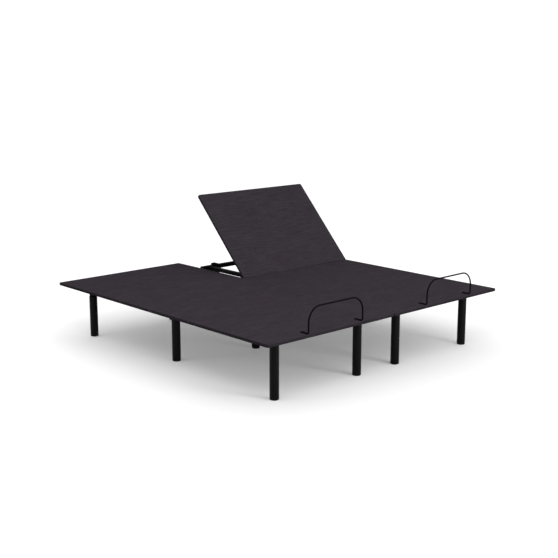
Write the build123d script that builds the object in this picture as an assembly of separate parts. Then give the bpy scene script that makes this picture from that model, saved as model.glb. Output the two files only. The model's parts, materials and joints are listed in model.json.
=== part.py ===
from build123d import *
import math
import os

# Adjustable bed base: two equal halves side by side, each with a head, a seat, a thigh and a calf section.
# Millimetres. X runs across the bed, +Y points to the head end and +Z up. The origin is on the floor.

# Deck of one half
HALF_WIDTH = 968.0
HALF_GAP = 0.8
DECK_LENGTH = 2020.0
DECK_HEIGHT = 359.2
BOARD_THICK = 15.0
COVER_THICK = 1.4
DECK_CORNER_RADIUS = 10.0
COVER_EDGE_RADIUS = 2.0

# Lengths of the sections between their pivots, counted from the head end
HEAD_SECTION = 706.5
SEAT_SECTION = 304.0
THIGH_SECTION = 356.0

# Travel in degrees, and the pose that the model stands in
HEAD_TRAVEL = 60.0
THIGH_TRAVEL = 35.0
LEFT_HEAD_ANGLE = 0.0
RIGHT_HEAD_ANGLE = 46.76

# Folds between the sections
FOLD_CLEARANCE = 1.2
KNEE_HALF_GAP = 4.0
STRIP_CLEARANCE = 0.15

# Largest share of a thickness that a rounded edge takes
EDGE_SHARE = 0.8

# Hinges under the boards
HINGE_WIDTH = 60.0
CENTRE_KNUCKLE_WIDTH = 23.4
KNUCKLE_SIDE_GAP = 0.3
KNUCKLE_RADIUS = 4.0
LEAF_THICK = 2.0
LEAF_LENGTH = 40.0
LEAF_RELIEF = 0.5
HINGE_PIN_RADIUS = 2.0
RUNNING_CLEARANCE = 0.05

# Welded frame of rectangular tube
RAIL_WIDTH = 30.0
RAIL_HEIGHT = 25.0
RAIL_WALL = 1.5
TUBE_EDGE_RADIUS = 2.5
RAIL_LINE = 319.0
END_RAIL_HEIGHT = 28.0
END_RAIL_LENGTH = 780.0
HEAD_RAIL_INSET = 140.0
FOOT_RAIL_INSET = 133.0
DRIVE_RAIL_HEIGHT = 30.0
CAP_FLANGE = 2.5
CAP_PLUG_LENGTH = 15.0
CAP_PLUG_CLEARANCE = 0.15
CAP_EDGE_RADIUS = 1.5

# Rubber pads between the frame and the boards
PAD_HEIGHT = 6.5
PAD_GAP = 0.3
PAD_LENGTH = 58.0
PAD_WIDTH = 22.0
PAD_EDGE_RADIUS = 2.0
BUMPER_INBOARD = 50.0
SEAT_PAD_INSET = 60.0

# Legs
LEG_RADIUS = 25.8
LEG_WALL = 1.5
LEG_TOP_THICK = 4.0
GLIDE_HEIGHT = 9.0
GLIDE_EDGE_RADIUS = 5.0
GLIDE_PLUG_LENGTH = 16.0
GLIDE_PLUG_CLEARANCE = 0.15
STUD_RADIUS = 5.0
STUD_CLEARANCE = 0.2
STUD_STAND = 14.0
STUD_HEAD_RADIUS = 9.0
STUD_HEAD_HEIGHT = 6.0
MID_LEG_LINE = 267.0
MID_LEG_CENTRE_Y = -6.5
MID_LEG_STAGGER = 56.5
LEG_BRACKET_WIDTH = 40.0
LEG_BRACKET_HEIGHT = 46.0
LEG_BRACKET_WALL = 2.0
LEG_BRACKET_PLATE = 6.0
MID_BRACKET_OVERHANG = 8.0
HEAD_BRACKET_REACH = 77.0

# Tubes under the moving boards
SUB_TUBE = 20.0
SUB_TUBE_WALL = 1.5
SUB_TUBE_LINE = 265.0
HEAD_TUBE_REACH = 500.0
THIGH_TUBE_END_GAP = 22.0
CALF_TUBE_START = 48.0
CALF_TUBE_END_GAP = 25.5
TORQUE_TUBE_RADIUS = 12.5
TORQUE_TUBE_WALL = 2.0
TORQUE_TUBE_OFFSET = 60.0

# Drives: a fixed actuator pushes a cross pin in the slot of a crank
HEAD_DRIVE_X = 75.0
LEG_DRIVE_X = -75.0
DRIVE_DROP = 100.0
DRIVE_CLOSED_LENGTH = 470.0
CRANK_SPACING = 24.0
CRANK_THICK = 5.0
CRANK_RIM = 10.0
CRANK_SADDLE_RIM = 8.0
CRANK_BOARD_GAP = 0.3
DRIVE_PIN_RADIUS = 6.0
DRIVE_PIN_OVERHANG = 4.0
SLOT_SIDE_PLAY = 0.6
SLOT_END_PLAY = 2.0
ROD_RADIUS = 10.0
ROD_GRIP = 60.0
ROD_TAIL_ROOM = 15.0
EYE_RADIUS = 13.0
EYE_SIDE_GAP = 1.0
EYE_NECK = 26.0
DRIVE_TUBE_RADIUS = 18.0
DRIVE_TUBE_GAP = 6.0
COLLAR_STEP = 2.0
COLLAR_LENGTH = 16.0
GEARBOX_START = 20.0
GEARBOX_LENGTH = 78.0
GEARBOX_WIDTH = 54.0
GEARBOX_HEIGHT = 58.0
GEARBOX_EDGE_RADIUS = 6.0
MOTOR_RADIUS = 24.0
MOTOR_LENGTH = 92.0
MOTOR_SIDE_OFFSET = 46.0
MOTOR_EDGE_RADIUS = 4.0
MOTOR_BAND_STEP = 1.5
MOTOR_BAND_LENGTH = 14.0
LUG_WIDTH = 16.0
LUG_RADIUS = 13.0
REAR_PIN_RADIUS = 5.0
REAR_PIN_OVERHANG = 3.0
REAR_PLATE_THICK = 5.0
REAR_PLATE_GAP = 0.3
REAR_PLATE_WIDTH = 44.0
REAR_PLATE_LIP = 2.0

# Links that keep the calf section level
LINK_DROP = 46.0
LINK_SHARE = 0.3175
LINK_LINE = 288.0
LINK_THICK = 6.0
LINK_HEIGHT = 25.0
LINK_PIN_RADIUS = 6.0
LINK_PIN_HEAD_RADIUS = 10.0
LINK_PIN_HEAD = 3.0
LINK_PIN_SIDE_GAP = 0.5
LINK_OPEN_CLEARANCE = 0.3
LINK_PLATE_THICK = 6.0
LINK_PLATE_WIDTH = 40.0

# Control box
BOX_WIDTH = 150.0
BOX_LENGTH = 96.0
BOX_HEIGHT = 42.0
BOX_EDGE_RADIUS = 5.0
BOX_CENTRE_X = 165.0
SOCKET_WIDTH = 16.0
SOCKET_HEIGHT = 12.0
SOCKET_DEPTH = 10.0
SOCKET_PITCH = 28.0
SOCKET_COUNT = 4

# Mattress retainer bar
BAR_RADIUS = 4.0
BAR_SPAN = 424.0
BAR_OFFSET = 14.5
BAR_HEIGHT = 150.0
BAR_CORNER_RADIUS = 83.0
BAR_FOOT_LENGTH = 58.0
BAR_FOOT_BEND = 12.0
BAR_BOLT_INSET = 12.0
BAR_BOLT_RADIUS = 2.0
BAR_BOLT_DEPTH = 4.5
BAR_BOLT_CLEARANCE = 0.1
BAR_BOLT_HEAD_RADIUS = 5.0
BAR_BOLT_HEAD = 3.0

# Heights and lines that follow from the sizes above
HALF_CENTRE = (HALF_WIDTH + HALF_GAP) / 2
HEAD_END = DECK_LENGTH / 2
FOOT_END = -DECK_LENGTH / 2
HEAD_PIVOT_Y = HEAD_END - HEAD_SECTION
THIGH_PIVOT_Y = HEAD_PIVOT_Y - SEAT_SECTION
KNEE_PIVOT_Y = THIGH_PIVOT_Y - THIGH_SECTION
BOARD_UNDER = DECK_HEIGHT - COVER_THICK - BOARD_THICK
PIVOT_Z = BOARD_UNDER - KNUCKLE_RADIUS
PIVOT_DROP = DECK_HEIGHT - PIVOT_Z
RAIL_TOP = BOARD_UNDER - PAD_HEIGHT - PAD_GAP
RAIL_UNDER = RAIL_TOP - RAIL_HEIGHT
RAIL_OUTER = RAIL_LINE + RAIL_WIDTH / 2
RAIL_INNER = RAIL_LINE - RAIL_WIDTH / 2
END_RAIL_TOP = RAIL_UNDER + END_RAIL_HEIGHT
HINGE_OFFSET = (RAIL_OUTER + HALF_WIDTH / 2) / 2
DRIVE_RAIL_UNDER = RAIL_UNDER - DRIVE_RAIL_HEIGHT
DRIVE_Z = PIVOT_Z - DRIVE_DROP
HEAD_RAIL_Y = HEAD_END - HEAD_RAIL_INSET
FOOT_RAIL_Y = FOOT_END + FOOT_RAIL_INSET
LEG_BRACKET_UNDER = RAIL_UNDER - LEG_BRACKET_HEIGHT
MID_BRACKET_INNER = MID_LEG_LINE - LEG_RADIUS - MID_BRACKET_OVERHANG
HEAD_BRACKET_INNER = RAIL_LINE - HEAD_BRACKET_REACH
SUB_TUBE_OUTER = SUB_TUBE_LINE + SUB_TUBE / 2
BAR_FEET = (BAR_OFFSET - BAR_SPAN / 2 + BAR_RADIUS, BAR_OFFSET + BAR_SPAN / 2 - BAR_RADIUS)
BAR_BOLT_Y = FOOT_END + BAR_RADIUS + BAR_FOOT_LENGTH - BAR_BOLT_INSET


def pin_rate(travel):
    """Travel of the drive pin for each radian of the crank, as a share of the drop to the drive line."""
    half = math.radians(travel) / 2
    return (1 + 2 * math.tan(half) / half) / 3


def pin_place(angle, travel):
    """How far the drive pin stands past the pivot, when the crank stands at an angle."""
    return pin_rate(travel) * DRIVE_DROP * math.radians(angle - travel / 2)


HEAD_REAR_Y = HEAD_PIVOT_Y + pin_place(0, HEAD_TRAVEL) - DRIVE_CLOSED_LENGTH
LEG_REAR_Y = THIGH_PIVOT_Y - pin_place(0, THIGH_TRAVEL) + DRIVE_CLOSED_LENGTH

# The links of the calf section hang between the head drive's rail and the foot rail
LINK_ROOM = (RAIL_WIDTH + LINK_PLATE_WIDTH) / 2
LINK_FRAME_LIMITS = (HEAD_REAR_Y - LINK_ROOM, FOOT_RAIL_Y + LINK_ROOM + THIGH_SECTION)
LINK_FRAME_Y = LINK_FRAME_LIMITS[0] + LINK_SHARE * (LINK_FRAME_LIMITS[1] - LINK_FRAME_LIMITS[0])
LINK_CALF_Y = LINK_FRAME_Y - THIGH_SECTION
LINK_Z = PIVOT_Z - LINK_DROP

HALVES = {"left": -HALF_CENTRE, "right": HALF_CENTRE}
HEAD_ANGLES = {"left": LEFT_HEAD_ANGLE, "right": RIGHT_HEAD_ANGLE}
HINGE_LINES = (-HINGE_OFFSET, 0.0, HINGE_OFFSET)


def block(x_range, y_range, z_range):
    """A box between two corners."""
    spans = [sorted(pair) for pair in (x_range, y_range, z_range)]
    middle = [(low + high) / 2 for low, high in spans]
    size = [high - low for low, high in spans]
    return Pos(*middle) * Box(*size)


def rod_x(radius, x_range, y, z):
    """A round bar across the bed."""
    low, high = sorted(x_range)
    return Pos((low + high) / 2, y, z) * Rot(0, 90, 0) * Cylinder(radius, high - low)


def rod_y(radius, y_range, x, z):
    """A round bar along the bed."""
    low, high = sorted(y_range)
    return Pos(x, (low + high) / 2, z) * Rot(90, 0, 0) * Cylinder(radius, high - low)


def rod_z(radius, z_range, x, y):
    """An upright round bar."""
    low, high = sorted(z_range)
    return Pos(x, y, (low + high) / 2) * Cylinder(radius, high - low)


def rounded_along(body, axis, radius):
    """A box with its long edges rounded."""
    return fillet(body.edges().filter_by(axis), radius)


def tube_x(x_range, y, width, z_range, wall):
    """A rectangular tube across the bed with rounded edges, open at its ends."""
    low, high = sorted(z_range)
    outer = block(x_range, (y - width / 2, y + width / 2), (low, high))
    inner_y = (y - width / 2 + wall, y + width / 2 - wall)
    inner = block(x_range, inner_y, (low + wall, high - wall))
    outer = rounded_along(outer, Axis.X, TUBE_EDGE_RADIUS)
    return outer - rounded_along(inner, Axis.X, TUBE_EDGE_RADIUS - wall)


def tube_y(y_range, x, width, z_range, wall):
    """A rectangular tube along the bed with rounded edges, open at its ends."""
    low, high = sorted(z_range)
    outer = block((x - width / 2, x + width / 2), y_range, (low, high))
    inner_x = (x - width / 2 + wall, x + width / 2 - wall)
    inner = block(inner_x, y_range, (low + wall, high - wall))
    outer = rounded_along(outer, Axis.Y, TUBE_EDGE_RADIUS)
    return outer - rounded_along(inner, Axis.Y, TUBE_EDGE_RADIUS - wall)


def plate_x(outline, x, thickness):
    """A flat plate from an outline of the YZ plane, centred on x."""
    return extrude(Plane.YZ.offset(x - thickness / 2) * outline, thickness)


def shift(parts, x):
    """Copies of the parts, moved across the bed."""
    return [Pos(x, 0, 0) * part for part in parts]


def raised(parts, angle):
    """Copies of the parts, turned up about the head pivot."""
    axis = Axis((0, HEAD_PIVOT_Y, PIVOT_Z), (1, 0, 0))
    return [part.rotate(axis, angle) for part in parts]


def fold_half_gap(travel):
    """Room that each board leaves beside a pivot, so that the two tops can close over it."""
    return PIVOT_DROP * math.tan(math.radians(travel) / 2) + FOLD_CLEARANCE


HEAD_HALF_GAP = fold_half_gap(HEAD_TRAVEL)
THIGH_HALF_GAP = fold_half_gap(THIGH_TRAVEL)

SECTIONS = {
    "head": (HEAD_PIVOT_Y + HEAD_HALF_GAP, HEAD_END),
    "seat": (THIGH_PIVOT_Y + THIGH_HALF_GAP, HEAD_PIVOT_Y - HEAD_HALF_GAP),
    "thigh": (KNEE_PIVOT_Y + KNEE_HALF_GAP, THIGH_PIVOT_Y - THIGH_HALF_GAP),
    "calf": (FOOT_END, KNEE_PIVOT_Y - KNEE_HALF_GAP),
}


def end_corners(solid, section):
    """The upright edges at the outer end of a head or calf section."""
    upright = solid.edges().filter_by(Axis.Z).sort_by(Axis.Y)
    if section == "head":
        return upright[-2:]
    if section == "calf":
        return upright[:2]
    return []


def rounded_slab(section, inset, z_range, radius):
    """A slab of a section's plan, drawn in by an inset, with round corners at the end of the bed."""
    low, high = SECTIONS[section]
    across = HALF_WIDTH / 2 - inset
    slab = block((-across, across), (low + inset, high - inset), z_range)
    corners = end_corners(slab, section)
    return fillet(corners, radius) if corners else slab


def bar_bolt_holes(radius, z_range):
    """Bolt holes under the feet of the retainer bar."""
    return [rod_z(radius, z_range, x, BAR_BOLT_Y) for x in BAR_FEET]


def deck_board(section):
    """The plywood board of a section."""
    top = BOARD_UNDER + BOARD_THICK
    board = rounded_slab(section, COVER_THICK, (BOARD_UNDER, top), DECK_CORNER_RADIUS - COVER_THICK)
    if section == "calf":
        board -= bar_bolt_holes(BAR_BOLT_RADIUS + BAR_BOLT_CLEARANCE, (BOARD_UNDER, top))
    return board


def deck_cover(section):
    """The fabric that wraps the top and the four edges of a board."""
    outer = rounded_slab(section, 0, (BOARD_UNDER, DECK_HEIGHT), DECK_CORNER_RADIUS)
    rim = outer.faces().sort_by(Axis.Z)[-1].edges()
    outer = fillet(rim, COVER_EDGE_RADIUS)
    board_top = DECK_HEIGHT - COVER_THICK
    inside = (BOARD_UNDER, board_top)
    outer -= rounded_slab(section, COVER_THICK, inside, DECK_CORNER_RADIUS - COVER_THICK)
    if section == "calf":
        outer -= bar_bolt_holes(BAR_BOLT_RADIUS + BAR_BOLT_CLEARANCE, (board_top, DECK_HEIGHT))
    return outer


def fold_strip(pivot_y, half_gap, angle):
    """The fabric that bridges a fold, flat or drawn into a valley when the far side is turned up.

    The outline keeps its length as it folds: the two arms meet on the line that halves the fold.
    """
    reach = half_gap - STRIP_CLEARANCE
    half = math.radians(angle) / 2
    spread = reach * math.cos(half) - PIVOT_DROP * math.sin(half)
    height = reach * math.sin(half) + PIVOT_DROP * math.cos(half)
    valley = height - math.sqrt(reach**2 - spread**2)
    under = valley - COVER_THICK * reach / spread
    lower = PIVOT_DROP - COVER_THICK
    turn = Vector(1, 0).rotate(Axis.Z, angle)
    rise = Vector(0, 1).rotate(Axis.Z, angle)
    middle = Vector(0, 1).rotate(Axis.Z, angle / 2)
    points = [
        Vector(-reach, PIVOT_DROP),
        middle * valley,
        turn * reach + rise * PIVOT_DROP,
        turn * reach + rise * lower,
        middle * under,
        Vector(-reach, lower),
    ]
    outline = Pos(pivot_y, PIVOT_Z) * make_face(Polyline(points, close=True))
    return plate_x(outline, 0, HALF_WIDTH)


def knuckle_spans(moving):
    """Where the knuckles of a leaf lie along a hinge: the middle one moves, the outer two are fixed."""
    middle = CENTRE_KNUCKLE_WIDTH / 2
    if moving:
        return [(-middle, middle)]
    outer = (middle + KNUCKLE_SIDE_GAP, HINGE_WIDTH / 2)
    return [outer, (-outer[1], -outer[0])]


def hinge_leaf(x, pivot_y, direction, moving):
    """A leaf under a board, with its knuckles round the pin."""
    top = BOARD_UNDER
    near = pivot_y + direction * (KNUCKLE_RADIUS + LEAF_RELIEF)
    far = pivot_y + direction * LEAF_LENGTH
    leaf = block((x - HINGE_WIDTH / 2, x + HINGE_WIDTH / 2), (near, far), (top - LEAF_THICK, top))
    for low, high in knuckle_spans(moving):
        span = (x + low, x + high)
        leaf += block(span, (pivot_y, near), (top - LEAF_THICK, top))
        leaf += rod_x(KNUCKLE_RADIUS, span, pivot_y, PIVOT_Z)
    return leaf - rod_x(
        HINGE_PIN_RADIUS + RUNNING_CLEARANCE,
        (x - HINGE_WIDTH / 2, x + HINGE_WIDTH / 2),
        pivot_y,
        PIVOT_Z,
    )


def hinge_leaves(pivot_y, direction, moving):
    """The leaves of one side of a fold."""
    return [hinge_leaf(x, pivot_y, direction, moving) for x in HINGE_LINES]


def hinge_pins(pivot_y):
    """The pins of one fold."""
    half = HINGE_WIDTH / 2
    return [rod_x(HINGE_PIN_RADIUS, (x - half, x + half), pivot_y, PIVOT_Z) for x in HINGE_LINES]


def end_cap(x_end, y, width, z_range, wall):
    """A plastic plug with a flange that closes a tube running across the bed."""
    low, high = sorted(z_range)
    outward = math.copysign(1, x_end)
    inner = x_end - outward * CAP_FLANGE
    flange = block((inner, x_end), (y - width / 2, y + width / 2), (low, high))
    flange = rounded_along(flange, Axis.X, TUBE_EDGE_RADIUS)
    face = flange.faces().sort_by(Axis.X)[-1 if outward > 0 else 0]
    flange = fillet(face.edges(), min(CAP_EDGE_RADIUS, EDGE_SHARE * CAP_FLANGE))
    draw_in = wall + CAP_PLUG_CLEARANCE
    plug = block(
        (inner, inner - outward * CAP_PLUG_LENGTH),
        (y - width / 2 + draw_in, y + width / 2 - draw_in),
        (low + draw_in, high - draw_in),
    )
    return flange + rounded_along(plug, Axis.X, TUBE_EDGE_RADIUS - wall)


def stud_hole(x, y, low, wall):
    """The hole that a leg's stud passes through in a wall of a rail, a bracket or the leg itself."""
    return rod_z(STUD_RADIUS + STUD_CLEARANCE, (low, low + wall), x, y)


def corner_legs(y):
    """Places of the two corner legs at an end of a half."""
    return [(x, y) for x in (-RAIL_LINE, RAIL_LINE)]


def mid_legs():
    """Places of the two staggered middle legs of a half."""
    return [(side * MID_LEG_LINE, MID_LEG_CENTRE_Y - side * MID_LEG_STAGGER) for side in (-1, 1)]


def side_rails():
    """The two long rails, butted between the end rails."""
    ends = (FOOT_RAIL_Y + RAIL_WIDTH / 2, HEAD_RAIL_Y - RAIL_WIDTH / 2)
    heights = (RAIL_UNDER, RAIL_TOP)
    return [tube_y(ends, x, RAIL_WIDTH, heights, RAIL_WALL) for x in (-RAIL_LINE, RAIL_LINE)]


def end_rail(y):
    """A cross rail at an end of the frame, which overhangs the long rails."""
    reach = END_RAIL_LENGTH / 2 - CAP_FLANGE
    return tube_x((-reach, reach), y, RAIL_WIDTH, (RAIL_UNDER, END_RAIL_TOP), RAIL_WALL)


def foot_rail():
    """The cross rail at the foot end, which two legs are bolted to."""
    rail = end_rail(FOOT_RAIL_Y)
    for x, y in corner_legs(FOOT_RAIL_Y):
        rail -= stud_hole(x, y, RAIL_UNDER, RAIL_WALL)
    return rail


def drive_rail(y):
    """A cross rail under the long rails, which holds the rear end of an actuator."""
    reach = RAIL_OUTER - CAP_FLANGE
    return tube_x((-reach, reach), y, RAIL_WIDTH, (DRIVE_RAIL_UNDER, RAIL_UNDER), RAIL_WALL)


def rail_caps():
    """The plugs in the ends of all cross rails of a half."""
    caps = []
    for side in (-1, 1):
        for y in (HEAD_RAIL_Y, FOOT_RAIL_Y):
            end = side * END_RAIL_LENGTH / 2
            caps.append(end_cap(end, y, RAIL_WIDTH, (RAIL_UNDER, END_RAIL_TOP), RAIL_WALL))
        for y in (HEAD_REAR_Y, LEG_REAR_Y):
            end = side * RAIL_OUTER
            caps.append(end_cap(end, y, RAIL_WIDTH, (DRIVE_RAIL_UNDER, RAIL_UNDER), RAIL_WALL))
    return caps


def leg_bracket(x, y, inner, outer, plate_top):
    """A short box tube across the bed with a leg bolted under it, closed at its outer end by a plate."""
    side = math.copysign(1, x)
    heights = (LEG_BRACKET_UNDER, RAIL_UNDER)
    plate_start = outer - LEG_BRACKET_PLATE
    tube = tube_x((side * inner, side * plate_start), y, LEG_BRACKET_WIDTH, heights, LEG_BRACKET_WALL)
    half = LEG_BRACKET_WIDTH / 2
    span = (side * plate_start, side * outer)
    plate = block(span, (y - half, y + half), (LEG_BRACKET_UNDER, plate_top))
    plate = rounded_along(plate, Axis.X, TUBE_EDGE_RADIUS)
    return tube + plate - stud_hole(x, y, LEG_BRACKET_UNDER, LEG_BRACKET_WALL)


def head_leg_bracket(x, y):
    """A bracket under the head rail."""
    return leg_bracket(x, y, HEAD_BRACKET_INNER, RAIL_OUTER, RAIL_UNDER)


def mid_leg_bracket(x, y):
    """A bracket inside a long rail, whose plate is welded to the inner face of the rail."""
    return leg_bracket(x, y, MID_BRACKET_INNER, RAIL_INNER, RAIL_TOP)


def leg_places():
    """Place and top height of every leg of a half."""
    under_brackets = corner_legs(HEAD_RAIL_Y) + mid_legs()
    places = [(x, y, LEG_BRACKET_UNDER) for x, y in under_brackets]
    return places + [(x, y, RAIL_UNDER) for x, y in corner_legs(FOOT_RAIL_Y)]


def leg(x, y, top):
    """A leg tube, closed at the top by a plate with a hole for its stud."""
    tube = rod_z(LEG_RADIUS, (GLIDE_HEIGHT, top), x, y)
    tube -= rod_z(LEG_RADIUS - LEG_WALL, (GLIDE_HEIGHT, top - LEG_TOP_THICK), x, y)
    return tube - stud_hole(x, y, top - LEG_TOP_THICK, LEG_TOP_THICK)


def leg_glide(x, y):
    """A moulded foot with a rounded rim, plugged into the leg."""
    foot = rod_z(LEG_RADIUS, (0, GLIDE_HEIGHT), x, y)
    rim = foot.edges().filter_by(GeomType.CIRCLE).sort_by(Axis.Z)[0]
    foot = fillet(rim, min(GLIDE_EDGE_RADIUS, EDGE_SHARE * GLIDE_HEIGHT))
    plug_radius = LEG_RADIUS - LEG_WALL - GLIDE_PLUG_CLEARANCE
    return foot + rod_z(plug_radius, (GLIDE_HEIGHT, GLIDE_HEIGHT + GLIDE_PLUG_LENGTH), x, y)


def leg_stud(x, y, top):
    """The bolt that holds a leg, with its head inside the leg."""
    under = top - LEG_TOP_THICK
    head = rod_z(STUD_HEAD_RADIUS, (under - STUD_HEAD_HEIGHT, under), x, y)
    return head + rod_z(STUD_RADIUS, (under, top + STUD_STAND), x, y)


def pad(x, y, size, z_range):
    """A rubber pad on top of a rail."""
    low, high = z_range
    body = Pos(x, y, (low + high) / 2) * Box(*size, high - low)
    rounded = min(PAD_EDGE_RADIUS, EDGE_SHARE * (high - low) / 2)
    return fillet(body.faces().sort_by(Axis.Z)[-1].edges(), rounded)


def rest_pads():
    """Bumpers that the head and calf boards rest on, and the pads that carry the seat board."""
    bumper_line = RAIL_LINE - BUMPER_INBOARD
    pads = []
    low, high = SECTIONS["seat"]
    for side in (-1, 1):
        for y in (HEAD_RAIL_Y, FOOT_RAIL_Y):
            heights = (END_RAIL_TOP, BOARD_UNDER - PAD_GAP)
            pads.append(pad(side * bumper_line, y, (PAD_LENGTH, PAD_WIDTH), heights))
        for y in (low + SEAT_PAD_INSET, high - SEAT_PAD_INSET):
            pads.append(pad(side * RAIL_LINE, y, (PAD_WIDTH, PAD_LENGTH), (RAIL_TOP, BOARD_UNDER)))
    return pads


def sub_tubes(y_range):
    """The two long tubes under a moving board."""
    heights = (BOARD_UNDER - SUB_TUBE, BOARD_UNDER)
    lines = (-SUB_TUBE_LINE, SUB_TUBE_LINE)
    return [tube_y(y_range, x, SUB_TUBE, heights, SUB_TUBE_WALL) for x in lines]


def torque_tube(y):
    """A round cross tube under a moving board, which the cranks are welded to."""
    z = BOARD_UNDER - TORQUE_TUBE_RADIUS
    ends = (-SUB_TUBE_OUTER, SUB_TUBE_OUTER)
    return rod_x(TORQUE_TUBE_RADIUS, ends, y, z) - rod_x(TORQUE_TUBE_RADIUS - TORQUE_TUBE_WALL, ends, y, z)


def slot_radius(travel):
    """Half the width of a crank's slot: the pin, its play and the drift of an even push."""
    steps = 24
    half = math.radians(travel) / 2
    turns = [half * step / steps for step in range(steps + 1)]
    drift = [abs(math.sin(t) - pin_rate(travel) * t * math.cos(t)) for t in turns]
    return DRIVE_PIN_RADIUS + DRIVE_DROP * max(drift) + SLOT_SIDE_PLAY


def crank(x, pivot_y, direction, travel):
    """One plate of a slotted crank, saddled on the torque tube, with its board flat."""
    half = math.radians(travel) / 2
    near = DRIVE_DROP - SLOT_END_PLAY
    far = DRIVE_DROP * (math.cos(half) + pin_rate(travel) * half * math.sin(half)) + SLOT_END_PLAY
    width = slot_radius(travel)
    lean = Vector(-math.sin(half) * direction, -math.cos(half))
    tube = Vector(direction * TORQUE_TUBE_OFFSET, BOARD_UNDER - TORQUE_TUBE_RADIUS - PIVOT_Z)
    saddle = TORQUE_TUBE_RADIUS + CRANK_SADDLE_RIM
    rounds = Sketch() + [
        Pos(*tube) * Circle(saddle),
        Pos(*(lean * near)) * Circle(width + CRANK_RIM),
        Pos(*(lean * far)) * Circle(width + CRANK_RIM),
    ]
    outline = make_hull(rounds.edges())
    slot_angle = math.degrees(math.atan2(lean.Y, lean.X))
    centre = lean * ((near + far) / 2)
    outline -= Pos(*centre) * Rot(0, 0, slot_angle) * SlotCenterToCenter(far - near, 2 * width)
    outline -= Pos(*tube) * Circle(TORQUE_TUBE_RADIUS)
    above = BOARD_UNDER - PIVOT_Z - CRANK_BOARD_GAP
    overhang = 2 * saddle
    outline -= Pos(tube.X, above + overhang / 2) * Rectangle(2 * overhang, overhang)
    return plate_x(Pos(pivot_y, PIVOT_Z) * outline, x, CRANK_THICK)


def cranks(drive_x, pivot_y, direction, travel):
    """The two plates on either side of an actuator's eye."""
    offset = (CRANK_SPACING + CRANK_THICK) / 2
    return [crank(drive_x + side * offset, pivot_y, direction, travel) for side in (-1, 1)]


def moving_frame(pivot_y, direction, reach, drive_x, travel):
    """The welded frame under a raised board: torque tube, long tubes and cranks."""
    torque_y = pivot_y + direction * TORQUE_TUBE_OFFSET
    torque = torque_tube(torque_y)
    z = BOARD_UNDER - TORQUE_TUBE_RADIUS
    saddle = rod_x(TORQUE_TUBE_RADIUS, (-SUB_TUBE_OUTER, SUB_TUBE_OUTER), torque_y, z)
    long_tubes = [tube - saddle for tube in sub_tubes((torque_y, pivot_y + direction * reach))]
    return [torque] + long_tubes + cranks(drive_x, pivot_y, direction, travel)


def head_frame():
    """The frame under the head board, with a tie across its far end."""
    parts = moving_frame(HEAD_PIVOT_Y, 1, HEAD_TUBE_REACH, HEAD_DRIVE_X, HEAD_TRAVEL)
    inner = SUB_TUBE_LINE - SUB_TUBE / 2
    y = HEAD_PIVOT_Y + HEAD_TUBE_REACH - SUB_TUBE / 2
    tie = tube_x((-inner, inner), y, SUB_TUBE, (BOARD_UNDER - SUB_TUBE, BOARD_UNDER), SUB_TUBE_WALL)
    return parts + [tie]


def thigh_frame():
    """The frame under the thigh board."""
    reach = THIGH_SECTION - KNEE_HALF_GAP - THIGH_TUBE_END_GAP
    return moving_frame(THIGH_PIVOT_Y, -1, reach, LEG_DRIVE_X, THIGH_TRAVEL)


def calf_link_plate(side):
    """A plate beside a calf tube, down to the pin of a link."""
    outline = make_hull(
        (
            Sketch()
            + Pos(LINK_CALF_Y, BOARD_UNDER - SUB_TUBE / 2) * Rectangle(LINK_PLATE_WIDTH, SUB_TUBE)
            + Pos(LINK_CALF_Y, LINK_Z) * Circle(LINK_HEIGHT / 2)
        ).edges()
    )
    outline -= Pos(LINK_CALF_Y, LINK_Z) * Circle(LINK_PIN_RADIUS + RUNNING_CLEARANCE)
    return plate_x(outline, side * (SUB_TUBE_OUTER + LINK_PLATE_THICK / 2), LINK_PLATE_THICK)


def calf_link_pin(side):
    """The pin that joins a link to the calf section."""
    outside = LINK_LINE + LINK_THICK / 2 + LINK_PIN_SIDE_GAP
    pin = rod_x(LINK_PIN_RADIUS, (side * SUB_TUBE_OUTER, side * outside), LINK_CALF_Y, LINK_Z)
    head = (side * outside, side * (outside + LINK_PIN_HEAD))
    return pin + rod_x(LINK_PIN_HEAD_RADIUS, head, LINK_CALF_Y, LINK_Z)


def calf_frame():
    """The tubes under the calf board, and the plates and pins that take its links."""
    start = KNEE_PIVOT_Y - CALF_TUBE_START
    parts = sub_tubes((FOOT_RAIL_Y + RAIL_WIDTH / 2 + CALF_TUBE_END_GAP, start))
    for side in (-1, 1):
        parts += [calf_link_plate(side), calf_link_pin(side)]
    return parts


def frame_link_plates():
    """The plates inside the long rails, and the pins that the links turn on."""
    parts = []
    for side in (-1, 1):
        outline = make_hull(
            (
                Sketch()
                + Pos(LINK_FRAME_Y, RAIL_TOP - RAIL_HEIGHT / 2) * Rectangle(LINK_PLATE_WIDTH, RAIL_HEIGHT)
                + Pos(LINK_FRAME_Y, LINK_Z) * Circle(LINK_HEIGHT / 2)
            ).edges()
        )
        outline -= Pos(LINK_FRAME_Y, LINK_Z) * Circle(LINK_PIN_RADIUS + RUNNING_CLEARANCE)
        parts.append(plate_x(outline, side * (RAIL_INNER - LINK_PLATE_THICK / 2), LINK_PLATE_THICK))
        inside = LINK_LINE - LINK_THICK / 2 - LINK_PIN_SIDE_GAP
        pin = rod_x(LINK_PIN_RADIUS, (side * RAIL_INNER, side * inside), LINK_FRAME_Y, LINK_Z)
        head = (side * inside, side * (inside - LINK_PIN_HEAD))
        parts.append(pin + rod_x(LINK_PIN_HEAD_RADIUS, head, LINK_FRAME_Y, LINK_Z))
    return parts


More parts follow.
